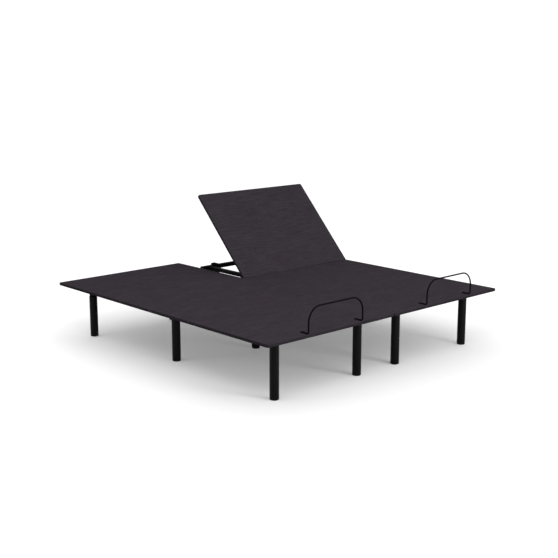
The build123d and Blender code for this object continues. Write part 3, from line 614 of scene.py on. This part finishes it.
def islands(node: str) -> list[Box]:
    """Finds the boxes of a CAD node's separate solids.

    Args:
        node: The node's name.

    Returns:
        Lowest and highest corner of each solid.
    """
    bm = bmesh.new()
    bm.from_mesh(frame["nodes"][node].data)
    bmesh.ops.remove_doubles(bm, verts=bm.verts[:], dist=SAME_POINT)
    left = set(bm.verts)
    boxes = []
    while left:
        stack = [left.pop()]
        found = []
        while stack:
            vert = stack.pop()
            found.append(vert.co.copy())
            near = {edge.other_vert(vert) for edge in vert.link_edges} & left
            left -= near
            stack.extend(near)
        low, high = (Vector([pick(p[i] for p in found) for i in (X, Y, Z)]) for pick in (min, max))
        boxes.append((low, high))
    bm.free()
    return sorted(boxes, key=lambda box: tuple(round(c, SORT_DIGITS) for c in box[0]))


@dataclass
class Half:
    """One half of the bed: where its sections lie and how far its head section is raised at rest."""

    side: Side
    low_x: float = field(init=False)
    high_x: float = field(init=False)
    head_angle: float = field(init=False)
    head_pivot: Vector = field(init=False)

    def __post_init__(self) -> None:
        """Reads the half's place from the frame."""
        low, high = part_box(self.name("calf_cover"))
        self.low_x, self.high_x = low.x, high.x
        joint = self.joint(Fold.HEAD)
        self.head_angle = math.radians(-joint["range_deg"][0])
        self.head_pivot = Vector(joint["pos_m"])

    def name(self, word: str) -> str:
        """Gives a word with the half's side before it."""
        return f"{self.side.value}_{word}"

    @property
    def middle_x(self) -> float:
        """The half's middle."""
        return (self.low_x + self.high_x) / 2

    @property
    def width(self) -> float:
        """The half's width."""
        return self.high_x - self.low_x

    def joint(self, fold: Fold) -> dict:
        """Gives the record of a fold's joint."""
        return next(joint for joint in frame["joints"] if joint["name"] == self.name(fold.joint))

    def hinge_lines(self) -> list[float]:
        """Gives the middles of the hinges across the half."""
        return [(low.x + high.x) / 2 for low, high in islands(self.name("head_hinge_leaves"))]

    def body(self, section: Section) -> str:
        """Gives the body that carries a section."""
        return BASE if section is Section.SEAT else self.name(section.value)

    def turned(self, angle: float) -> Matrix:
        """Gives the matrix that turns the head section by an angle about its hinge."""
        there = Matrix.Translation(self.head_pivot)
        return there @ Matrix.Rotation(angle, 4, "X") @ there.inverted()

    def settle(self, bm: Mesh, section: Section, verts: list[Vert]) -> None:
        """Turns what was made flat with the head section to its place at rest."""
        if section is Section.HEAD:
            bmesh.ops.transform(bm, matrix=self.turned(self.head_angle), verts=verts)


def section_node(side: Side, section: Section, word: str) -> str:
    """Names the node of a section's cover or board; the seat's node holds those of both halves."""
    return f"seat_{word}s" if section is Section.SEAT else f"{side.value}_{section.value}_{word}"


def section_span(section: Section) -> Box:
    """Gives a flat section's lowest and highest corner, from the flat half, for their y and z."""
    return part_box(section_node(Side.LEFT, section, "cover"))


def map_weave(bm: Mesh) -> None:
    """Writes the weave map of a flat piece: u along the bed's width, v along its length, in metres.

    Args:
        bm: The mesh, flat.
    """
    layer = bm.loops.layers.uv.new(WEAVE_MAP)
    bm.normal_update()
    for face in bm.faces:
        across, along, up = (abs(c) for c in face.normal)
        for loop in face.loops:
            x, y, z = loop.vert.co
            if up >= max(across, along):
                loop[layer].uv = (x, y)
            elif across >= along:
                loop[layer].uv = (x + z, y)
            else:
                loop[layer].uv = (x, y + z)


def paint_side_shade(bm: Mesh) -> None:
    """Marks where painted shade darkens the cloth: fully on the sides and less on the ends.

    Args:
        bm: The mesh, flat.
    """
    layer = bm.faces.layers.float.new(SIDE_SHADE_MASK)
    for face in bm.faces:
        face[layer] = min(1.0, abs(face.normal.x) + END_SHADE_SHARE * abs(face.normal.y))


class SubAssembly(Protocol):
    """Pieces of the bed that belong together."""

    def build(self) -> list[Piece]:
        """Builds the pieces."""

    def dress(self, pieces: list[Piece], wardrobe: Wardrobe) -> None:
        """Dresses the pieces and ties them to their bodies."""


@dataclass
class DeckCover:
    """The cloth round one board of the deck."""

    half: Half
    section: Section
    corner: float = 0.010
    corner_steps: int = 6
    hem: float = 0.045

    def build(self) -> list[Piece]:
        """Builds the cover: top, sides and the hem under the board.

        Returns:
            The cover.
        """
        low, high = section_span(self.section)
        low = Vector((self.half.low_x, low.y, low.z - HEM_DROP))
        high = Vector((self.half.high_x, high.y, high.z))
        bm = bmesh.new()
        add_box(bm, low, high)
        free = {Section.CALF: low.y, Section.HEAD: high.y}.get(self.section)
        if free is not None:
            corners = [e for e in bm.edges if goes_along(e, Z) and lies_at(e, Y, free)]
            round_edges(bm, corners, self.corner, self.corner_steps)
        folds = [y for y in (low.y, high.y) if y != free]
        level = [e for e in bm.edges if not goes_along(e, Z)]
        rims = [e for e in level if not any(lies_at(e, Y, y) for y in folds)]
        round_edges(bm, rims, CLOTH_EDGE, CLOTH_EDGE_STEPS)
        bm.normal_update()
        top = max(bm.faces, key=area_upwards)
        under = min(bm.faces, key=area_upwards)
        bmesh.ops.inset_region(bm, faces=[top], thickness=CLOTH_MARGIN, use_even_offset=True)
        bmesh.ops.inset_region(bm, faces=[under], thickness=self.hem, use_even_offset=True)
        bmesh.ops.delete(bm, geom=[under], context="FACES")
        map_weave(bm)
        # Painted shade on the cover's sides, and less on its ends
        paint_side_shade(bm)
        self.half.settle(bm, self.section, bm.verts[:])
        piece = finished(bm, self.half.name(f"{self.section.value}_deck_cloth"))
        wall = piece.modifiers.new("cloth", "SOLIDIFY")
        wall.thickness = CLOTH
        wall.offset = -1.0
        return [piece]

    def dress(self, pieces: list[Piece], wardrobe: Wardrobe) -> None:
        """Dresses the cover and ties it to its board.

        Args:
            pieces: The cover.
            wardrobe: The materials.
        """
        piece = pieces[0]
        cover, board = (section_node(self.half.side, self.section, word) for word in ("cover", "board"))
        wardrobe.dress(piece, Slot.FABRIC, self.half.body(self.section), cover)


@dataclass
class FoldStrip:
    """The cloth that bridges a hinge line of the deck."""

    half: Half
    fold: Fold
    steps: int = 11
    valley: float = 0.34
    shortest: float = 0.010

    def ends(self) -> Span:
        """Finds the gap that the strip bridges.

        Returns:
            The y of the still and of the turning section's edge, flat.
        """
        still_low, still_high = section_span(self.fold.still)
        turn_low, turn_high = section_span(self.fold.turning)
        if turn_low.y > still_low.y:
            return still_high.y, turn_low.y
        return still_low.y, turn_high.y

    def rest_angle(self) -> float:
        """Gives how far the fold is turned at rest."""
        return self.half.head_angle if self.fold is Fold.HEAD else 0.0

    def build(self) -> list[Piece]:
        """Builds the strip; the one at a raised head section dips into the hinge.

        Returns:
            The strip.
        """
        near, far = sorted(self.ends())
        low, high = section_span(self.fold.still)
        bm = bmesh.new()
        add_box(bm, Vector((self.half.low_x, near, low.z)), Vector((self.half.high_x, far, high.z)))
        rims = [e for e in bm.edges if goes_along(e, Y) and e.verts[0].co.z > low.z + TINY]
        round_edges(bm, rims, CLOTH_EDGE, CLOTH_EDGE_STEPS)
        bm.normal_update()
        ends_and_under = [f for f in bm.faces if abs(f.normal.y) > FACING or f.normal.z < -FACING]
        bmesh.ops.delete(bm, geom=ends_and_under, context="FACES")
        inset = CLOTH_EDGE + CLOTH_MARGIN
        for x in (self.half.low_x + inset, self.half.high_x - inset):
            whole = bm.verts[:] + bm.edges[:] + bm.faces[:]
            bmesh.ops.bisect_plane(bm, geom=whole, plane_co=(x, 0, 0), plane_no=(1, 0, 0))
        along = [e for e in bm.edges if goes_along(e, Y)]
        bmesh.ops.subdivide_edges(bm, edges=along, cuts=self.steps, use_grid_fill=True)
        map_weave(bm)
        if self.rest_angle():
            for vert in bm.verts:
                vert.co = self.dipped(vert.co)
        bmesh.ops.recalc_face_normals(bm, faces=bm.faces[:])
        bmesh.ops.solidify(bm, geom=bm.faces[:], thickness=CLOTH)
        return [finished(bm, self.half.name(f"{self.fold.word}_fold_cloth"))]

    def dipped(self, point: Vector) -> Vector:
        """Turns a point of the flat strip with the raised section, lower towards the strip's middle.

        Args:
            point: The point, flat.

        Returns:
            Its place at rest.
        """
        start, end = self.ends()
        share = (point.y - start) / (end - start)
        sink = 1.0 - self.valley * (1.0 - (2.0 * share - 1.0) ** 2)
        pivot = self.half.head_pivot
        arm = point - pivot
        arm.y, arm.z = arm.y * sink, arm.z * sink
        weight = share * share * (3.0 - 2.0 * share)
        return self.half.turned(self.rest_angle() * weight) @ (pivot + arm)

    def cloth_length(self) -> float:
        """Measures the strip over the fold at rest.

        Returns:
            The length in metres.
        """
        start, end = self.ends()
        if not self.rest_angle():
            return abs(end - start)
        x, top = self.half.middle_x, section_span(self.fold.still)[1].z
        count = 2 * self.steps
        places = [start + (end - start) * i / count for i in range(count + 1)]
        line = [self.dipped(Vector((x, y, top))) for y in places]
        return sum((b - a).length for a, b in zip(line, line[1:]))

    def dress(self, pieces: list[Piece], wardrobe: Wardrobe) -> None:
        """Dresses the strip and bakes its place into its mesh.

        Args:
            pieces: The strip.
            wardrobe: The materials.
        """
        piece = pieces[0]
        wardrobe.dress(piece, Slot.FABRIC, node=self.half.name(f"{self.fold.word}_fold_strip"))
        start, end = self.ends()
        low, high = section_span(self.fold.still)
        there = self.half.turned(self.rest_angle()) @ Vector((self.half.middle_x, end, high.z))
        self.half.body(self.fold.still)
        self.half.body(self.fold.turning)
        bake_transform(piece)
        length = self.cloth_length()
        covers = [self.half.name(f"{s.value}_deck_cloth") for s in (self.fold.still, self.fold.turning)]


@dataclass
class LegSet:
    """The legs of both halves with the glides under them."""

    rim: float = 0.0012
    rim_steps: int = 5
    glide_edge: float = 0.005
    glide_step: float = 0.0003
    segments: int = 64

    def build(self) -> list[Piece]:
        """Builds the legs and their glides.

        Returns:
            The legs and the glides.
        """
        tubes, glides = bmesh.new(), bmesh.new()
        step = Vector((self.glide_step, self.glide_step, 0.0))
        for low, high in islands("legs"):
            self.turn_part(tubes, low, high, self.rim)
            foot_low = Vector((low.x, low.y, 0.0)) + step
            foot_high = Vector((high.x, high.y, low.z + self.rim)) - step
            self.turn_part(glides, foot_low, foot_high, self.glide_edge)
        return [finished(tubes, "turned_legs"), finished(glides, "turned_glides")]

    def turn_part(self, bm: Mesh, low: Vector, high: Vector, below: float) -> None:
        """Adds one round part with rounded rims.

        Args:
            bm: The mesh.
            low: Lowest corner of its box.
            high: Highest corner of its box.
            below: Radius of the lower rim.
        """
        radius = (high.x - low.x) / 2
        verts = bmesh.ops.create_cone(
            bm, cap_ends=True, segments=self.segments, radius1=radius, radius2=radius, depth=high.z - low.z,
        )["verts"]
        bmesh.ops.translate(bm, vec=(low + high) / 2, verts=verts)
        for level, rim in ((low.z, below), (high.z, self.rim)):
            ring = [e for e in edges_of(verts) if lies_at(e, Z, level)]
            made = round_edges(bm, ring, rim, self.rim_steps)
            verts = [v for v in verts if v.is_valid] + made

    def dress(self, pieces: list[Piece], wardrobe: Wardrobe) -> None:
        """Dresses the legs and the glides, which ride on the base."""
        for piece, slot, node in zip(pieces, (Slot.LEG, Slot.PLASTIC), ("legs", "leg_glides")):
            wardrobe.dress(piece, slot, BASE, node)


@dataclass
class RetainerBar:
    """The bent rod at the foot end that keeps the mattress in place."""

    half: Half
    rod: float = 0.0047
    corner: float = 0.083
    foot_bend: float = 0.012
    sides: int = 24
    bend_steps: int = 14
    end_rim: float = 0.0006
    end_steps: int = 2

    def build(self) -> list[Piece]:
        """Bends the rod from one foot over the arch to the other foot.

        Returns:
            The bar.
        """
        low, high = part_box(self.half.name("retainer_bar"))
        left, right = low.x + self.rod, high.x - self.rod
        plane, tip = low.y + self.rod, high.y
        foot, top = low.z + self.rod, high.z - self.rod
        heel_y, heel_z = plane + self.foot_bend, foot + self.foot_bend
        arch_z = top - self.corner
        bm = bmesh.new()
        ring = bmesh.ops.create_circle(bm, segments=self.sides, radius=self.rod, cap_ends=True)["verts"]
        bmesh.ops.rotate(bm, verts=ring, cent=(0, 0, 0), matrix=Matrix.Rotation(QUARTER_TURN, 3, "X"))
        bmesh.ops.translate(bm, verts=ring, vec=(left, tip, foot))
        edges = edges_of(ring)
        # Each straight run, then the centre and the axis of the bend after it
        path = (
            ((0, heel_y - tip, 0), (left, heel_y, heel_z), (-1, 0, 0)),
            ((0, 0, arch_z - heel_z), (left + self.corner, plane, arch_z), (0, 1, 0)),
            ((right - left - 2 * self.corner, 0, 0), (right - self.corner, plane, arch_z), (0, 1, 0)),
            ((0, 0, heel_z - arch_z), (right, heel_y, heel_z), (1, 0, 0)),
        )
        for run, centre, axis in path:
            edges = self.bend(bm, self.draw(bm, edges, run), centre, axis)
        edges = self.draw(bm, edges, (0, tip - heel_y, 0))
        bmesh.ops.contextual_create(bm, geom=edges)
        bmesh.ops.remove_doubles(bm, verts=bm.verts[:], dist=TINY)
        rims = [e for e in bm.edges if lies_at(e, Y, tip) and len(e.link_faces) == 2]
        round_edges(bm, rims, self.end_rim, self.end_steps)
        return [finished(bm, self.half.name("bent_retainer_bar"))]

    @staticmethod
    def draw(bm: Mesh, edges: list[Edge], run: Triple) -> list[Edge]:
        """Draws the rod's end on in a straight line.

        Args:
            bm: The mesh.
            edges: The open end's edges.
            run: The way it goes.

        Returns:
            The new end's edges.
        """
        made = bmesh.ops.extrude_edge_only(bm, edges=edges)["geom"]
        verts = only(Vert, made)
        bmesh.ops.translate(bm, verts=verts, vec=run)
        return [edge for edge in only(Edge, made) if set(verts).issuperset(edge.verts)]

    def bend(self, bm: Mesh, edges: list[Edge], centre: Triple, axis: Triple) -> list[Edge]:
        """Bends the rod's end by a quarter turn.

        Args:
            bm: The mesh.
            edges: The open end's edges.
            centre: A point of the axis.
            axis: The axis.

        Returns:
            The new end's edges.
        """
        made = bmesh.ops.spin(
            bm, geom=edges, cent=centre, axis=axis, angle=QUARTER_TURN, steps=self.bend_steps,
            use_duplicate=False,
        )["geom_last"]
        return only(Edge, made)

    def dress(self, pieces: list[Piece], wardrobe: Wardrobe) -> None:
        """Dresses the bar and lets it ride with the calf section."""
        wardrobe.dress(pieces[0], Slot.FRAME, self.half.body(Section.CALF), self.half.name("retainer_bar"))


@dataclass
class RestPads:
    """Rubber pads on the rails; the bumpers under the raised head section stand relaxed."""

    half: Half
    relaxed: float = 0.015
    rim: float = 0.0012
    relaxed_rim: float = 0.004
    rim_steps: int = 4
    ridge: float = 0.5
    outer_share: float = 0.85
    inner_share: float = 0.4

    def is_free(self, low: Vector) -> bool:
        """Tells whether a pad lies under the raised head section."""
        return low.y > section_span(Section.SEAT)[1].y and low.x > self.half.low_x

    def build(self) -> list[Piece]:
        """Builds the pads under load and the relaxed bumpers.

        Returns:
            The pads and the bumpers.
        """
        pads, bumpers = bmesh.new(), bmesh.new()
        for low, high in islands("rest_pads"):
            if self.is_free(low):
                self.add_bumper(bumpers, low, Vector((high.x, high.y, low.z + self.relaxed)))
            else:
                self.add_pad(pads, low, high)
        return [finished(pads, "loaded_rest_pads"), finished(bumpers, self.half.name("relaxed_bumpers"))]

    def add_pad(self, bm: Mesh, low: Vector, high: Vector) -> None:
        """Adds a pad between two corners, with a rounded top."""
        upper = [e for e in edges_of(add_box(bm, low, high)) if reaches_over(e, high.z - TINY)]
        round_edges(bm, upper, self.rim, self.rim_steps)

    def add_bumper(self, bm: Mesh, low: Vector, high: Vector) -> None:
        """Adds a relaxed bumper: a rounded hump that falls off towards the middle of its half.

        Args:
            bm: The mesh.
            low: Lowest corner.
            high: Highest corner.
        """
        verts = add_box(bm, low, high)
        outer, inner = low.x, high.x
        if (low.x + high.x) / 2 > self.half.middle_x:
            outer, inner = inner, outer
        ridge = Vector((outer + self.ridge * (inner - outer), low.y, low.z))
        parts = dict.fromkeys(part for v in verts for part in (v, *v.link_edges, *v.link_faces))
        cut = bmesh.ops.bisect_plane(bm, geom=list(parts), plane_co=ridge, plane_no=(1, 0, 0))["geom_cut"]
        for vert in verts:
            if vert.co.z > low.z + TINY:
                share = self.outer_share if abs(vert.co.x - outer) < TINY else self.inner_share
                vert.co.z = low.z + share * (high.z - low.z)
        upper = [e for e in edges_of(verts + only(Vert, cut)) if reaches_over(e, low.z + TINY)]
        round_edges(bm, upper, self.relaxed_rim, self.rim_steps)

    def dress(self, pieces: list[Piece], wardrobe: Wardrobe) -> None:
        """Dresses the pads and the bumpers and gives the bumpers a mesh of their own.

        Args:
            pieces: The pads and the bumpers.
            wardrobe: The materials.
        """
        for piece in pieces:
            wardrobe.dress(piece, Slot.RUBBER, BASE, "rest_pads")
        low, high = next(box for box in islands("rest_pads") if self.is_free(box[0]))
        share = (high.z - low.z) / self.relaxed
        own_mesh(pieces[1], self.half.name(Fold.HEAD.joint), (0, 0, 1), tuple(low), keep=share)


@dataclass
class HingeScrews:
    """Screws in the hinge leaves, grouped by the body that the leaves ride on."""

    halves: list[Half]
    head: float = 0.0042
    tip_share: float = 0.62
    recess_share: float = 0.3
    recess_depth: float = 0.7
    stand: float = 0.0011
    across: float = 0.020
    reaches: tuple[float, ...] = (0.017, 0.032)
    leaf: float = 0.002
    sides: int = 20

    def leaves(self) -> dict[str, list[tuple[Half, Fold, Section]]]:
        """Groups both sides of every fold by the body that carries them.

        Returns:
            Body name to the half, the fold and the section of each side.
        """
        groups: dict[str, list[tuple[Half, Fold, Section]]] = {}
        for half in self.halves:
            for fold in Fold:
                for section in (fold.still, fold.turning):
                    groups.setdefault(half.body(section), []).append((half, fold, section))
        return groups

    def build(self) -> list[Piece]:
        """Builds the screw heads under all leaves.

        Returns:
            The screws of each body.
        """
        pieces = []
        for body, sides in self.leaves().items():
            bm = bmesh.new()
            for half, fold, section in sides:
                self.add_row(bm, half, fold, section)
            pieces.append(finished(bm, f"{body}_hinge_screws"))
        return pieces

    def add_row(self, bm: Mesh, half: Half, fold: Fold, section: Section) -> None:
        """Adds the screws of one side of a fold.

        Args:
            bm: The mesh.
            half: The half of the bed.
            fold: The fold.
            section: The section that carries the leaves.
        """
        pivot = Vector(half.joint(fold)["pos_m"])
        low, high = section_span(section)
        way = 1.0 if (low.y + high.y) / 2 > pivot.y else -1.0
        for line in half.hinge_lines():
            for x in (line - self.across, line + self.across):
                for reach in self.reaches:
                    verts = self.add_screw(bm, Vector((x, pivot.y + way * reach, low.z - self.leaf)))
                    half.settle(bm, section, verts)

    def add_screw(self, bm: Mesh, place: Vector) -> list[Vert]:
        """Adds one screw head that hangs from a leaf, with a recess in its tip.

        Args:
            bm: The mesh.
            place: The middle of the head, on the leaf.

        Returns:
            The head's vertices.
        """
        verts = bmesh.ops.create_cone(
            bm, cap_ends=True, segments=self.sides,
            radius1=self.tip_share * self.head, radius2=self.head, depth=self.stand,
        )["verts"]
        bmesh.ops.translate(bm, verts=verts, vec=place - Vector((0, 0, self.stand / 2)))
        lowest = min(v.co.z for v in verts)
        faces = dict.fromkeys(face for v in verts for face in v.link_faces)
        under = [f for f in faces if all(v.co.z < lowest + TINY for v in f.verts)]
        before = set(bm.verts)
        bmesh.ops.inset_region(bm, faces=under, thickness=self.recess_share * self.head)
        recess = [v for f in under for v in f.verts]
        bmesh.ops.translate(bm, verts=recess, vec=(0, 0, self.recess_depth * self.stand))
        return verts + [v for v in bm.verts if v not in before]

    def dress(self, pieces: list[Piece], wardrobe: Wardrobe) -> None:
        """Dresses the screws and ties them to their bodies."""
        for body, piece in zip(self.leaves(), pieces):
            wardrobe.dress(piece, Slot.ZINC, body)


@dataclass
class HemStaples:
    """Staples that hold the hem of a cover under its board."""

    half: Half
    section: Section
    pitch: float = 0.048
    inset: float = 0.034
    end_insets: float = 1.5
    length: float = 0.010
    wire: float = 0.0012
    stand: float = 0.0006
    hinge_room: float = 0.040
    fewest_steps: int = 2

    def build(self) -> list[Piece]:
        """Builds the staples in rows along the four edges.

        Returns:
            The staples.
        """
        low, high = section_span(self.section)
        level = low.z - HEM_DROP
        hinges = self.half.hinge_lines()
        bm = bmesh.new()
        for y in (low.y + self.inset, high.y - self.inset):
            for x in self.steps(self.half.low_x, self.half.high_x):
                if min(abs(x - hinge) for hinge in hinges) > self.hinge_room:
                    self.add_staple(bm, Vector((x, y, level)), Vector((self.length, self.wire, 0)))
        for x in (self.half.low_x + self.inset, self.half.high_x - self.inset):
            for y in self.steps(low.y, high.y):
                self.add_staple(bm, Vector((x, y, level)), Vector((self.wire, self.length, 0)))
        self.half.settle(bm, self.section, bm.verts[:])
        return [finished(bm, self.half.name(f"{self.section.value}_hem_staples"))]

    def steps(self, low: float, high: float) -> list[float]:
        """Gives even places along an edge.

        Args:
            low: Start of the edge.
            high: End of the edge.

        Returns:
            The places.
        """
        start = low + self.end_insets * self.inset
        room = high - low - 2 * self.end_insets * self.inset
        count = max(self.fewest_steps, round(room / self.pitch))
        return [start + room * i / count for i in range(count + 1)]

    def add_staple(self, bm: Mesh, place: Vector, size: Vector) -> None:
        """Adds one staple with its middle at a place on the hem, as long and wide as size says."""
        add_box(bm, place - size / 2 - Vector((0, 0, self.stand)), place + size / 2)

    def dress(self, pieces: list[Piece], wardrobe: Wardrobe) -> None:
        """Dresses the staples and ties them to the board."""
        wardrobe.dress(pieces[0], Slot.ZINC, self.half.body(self.section))


@dataclass(frozen=True)
class Lamp:
    """A rectangular lamp that looks at the bed."""

    name: str
    place: Triple
    size: Span
    watts: float

    def hang(self) -> None:
        """Hangs the lamp at its place."""
        data = bpy.data.lights.new(self.name, "AREA")
        data.shape = "RECTANGLE"
        data.size, data.size_y = self.size
        data.energy = self.watts
        lamp = bpy.data.objects.new(self.name, data)
        lamp.location = self.place
        lamp.rotation_euler = (-Vector(self.place)).to_track_quat("-Z", "Y").to_euler()
        bpy.context.scene.collection.objects.link(lamp)


@dataclass
class Studio:
    """Floor, light and camera: soft lamps above the bed and an upright one on either side of it."""

    place: Triple = (-4.2669, -4.6744, 1.7539)
    yaw: float = math.radians(42.645)
    pitch: float = math.radians(12.069)
    focal_pixels: float = 1014.0
    frame_pixels: float = 558.0
    sensor: float = 36.0
    view_reach: float = 100.0
    floor_reach: float = 30.0
    # Painted shade on the floor: its tone for camera and mirrored rays is darkest near the middle point and fades
    # to the far tone over the reach, which shapes the bed's shadow
    floor_shade_tone: float = 0.737
    floor_far: float = 0.97
    floor_shade_middle: Triple = (-0.5, -2.2, 0.0)
    floor_shade_reach: Span = (1.3, 3.9)
    floor_bounce: float = 0.18
    shadow_lift: float = 0.162
    sky: float = 0.92
    backdrop: float = 1.02
    lamps: tuple[Lamp, ...] = (
        Lamp("key", (-3.2, -2.6, 4.2), (2.0, 2.0), 52.0),
        Lamp("fill", (3.6, -3.0, 3.6), (2.6, 2.6), 10.0),
        Lamp("front", (0.0, -4.8, 3.8), (2.6, 2.6), 47.0),
        Lamp("left_strip", (-5.0, 1.7, 1.3), (0.5, 2.2), 26.0),
        Lamp("right_strip", (1.1, -5.6, 1.3), (1.5, 2.2), 88.0),
    )

    def build(self) -> None:
        """Builds floor, world, lamps and camera."""
        self.build_floor()
        self.build_world()
        for lamp in self.lamps:
            lamp.hang()
        self.build_camera()

    def build_floor(self) -> None:
        """Lays a pale floor that keeps the bed's shadow, with painted shade: for camera and mirrored rays its tone
        is darker round a point in front of the bed and paler away from it, which shapes the shadow; it also glows
        for these rays, painted light that lifts the shadow.
        """
        bm = bmesh.new()
        bmesh.ops.create_grid(bm, x_segments=1, y_segments=1, size=self.floor_reach)
        floor = finished(bm, "studio_floor")
        material = bpy.data.materials.new("studio_floor")
        material.use_nodes = True
        nodes = Nodes(material.node_tree)
        material.node_tree.nodes.remove(material.node_tree.nodes["Principled BSDF"])
        shown = self.shown(nodes)
        # Painted shade: the floor's tone grows paler with distance from a point in front of the bed
        away = nodes.add("VectorMath", operation="DISTANCE")
        nodes.feed(away, {0: nodes.add("TexCoord").outputs["Object"], 1: self.floor_shade_middle})
        pale = (self.floor_shade_tone - self.floor_bounce, self.floor_far - self.floor_bounce)
        painted_floor_shade = nodes.spread(away.outputs["Value"], self.floor_shade_reach, pale)
        tone = nodes.math("ADD", nodes.math("MULTIPLY", shown, painted_floor_shade), self.floor_bounce)
        diffuse = nodes.feed(nodes.add("BsdfDiffuse"), {"Color": tone})
        # Painted light: the floor glows for camera and mirrored rays, which lifts the bed's shadow on it
        lift = nodes.math("MULTIPLY", shown, self.shadow_lift)
        glow = nodes.feed(nodes.add("Emission"), {"Strength": lift})
        both = nodes.feed(nodes.add("AddShader"), {0: diffuse.outputs[0], 1: glow.outputs[0]})
        nodes.join(both.outputs[0], material.node_tree.nodes["Material Output"].inputs["Surface"])
        floor.data.materials.append(material)

    def build_world(self) -> None:
        """Lights the bed evenly from all round, before a white background."""
        world = bpy.data.worlds.new("studio")
        bpy.context.scene.world = world
        world.use_nodes = True
        nodes = Nodes(world.node_tree)
        strength = nodes.spread(self.shown(nodes), UNIT, (self.sky, self.backdrop))
        white = (1.0, 1.0, 1.0, 1.0)
        nodes.feed(world.node_tree.nodes["Background"], {"Color": white, "Strength": strength})

    @staticmethod
    def shown(nodes: Nodes) -> Socket:
        """Tells the rays that show the background, straight or mirrored, from those that light the bed.

        Args:
            nodes: The nodes to add to.

        Returns:
            One for a ray that shows the background, else zero.
        """
        path = nodes.add("LightPath")
        mirrored = nodes.math("MAXIMUM", path.outputs["Is Glossy Ray"], path.outputs["Is Transmission Ray"])
        return nodes.math("MAXIMUM", path.outputs["Is Camera Ray"], mirrored)

    def build_camera(self) -> None:
        """Sets the camera at the photograph's viewing angle."""
        data = bpy.data.cameras.new("camera")
        data.sensor_width = self.sensor
        data.lens = self.focal_pixels * self.sensor / self.frame_pixels
        data.clip_end = self.view_reach
        camera = bpy.data.objects.new("camera", data)
        camera.location = self.place
        camera.rotation_euler = (QUARTER_TURN - self.pitch, 0.0, -self.yaw)
        bpy.context.scene.collection.objects.link(camera)
        bpy.context.scene.camera = camera
        bpy.context.scene.view_settings.view_transform = "Standard"


def main() -> None:
    """Builds and dresses the bed, piece by piece."""
    logging.basicConfig(level=logging.INFO, format="%(message)s")
    Studio().build()
    wardrobe = Wardrobe(FINISHES)
    wardrobe.dress_nodes()
    halves = [Half(side) for side in Side]
    raised = max(halves, key=lambda half: half.head_angle)
    groups: list[SubAssembly] = [LegSet(), RestPads(raised), HingeScrews(halves)]
    for half in halves:
        groups += [DeckCover(half, section) for section in Section]
        groups += [HemStaples(half, section) for section in Section]
        groups += [FoldStrip(half, fold) for fold in Fold]
        groups.append(RetainerBar(half))
    for group in groups:
        pieces = group.build()
        group.dress(pieces, wardrobe)
        for piece in pieces:
            LOG.info("%s: %d faces", piece.name, len(piece.data.polygons))


if __name__ == "__main__":
    main()
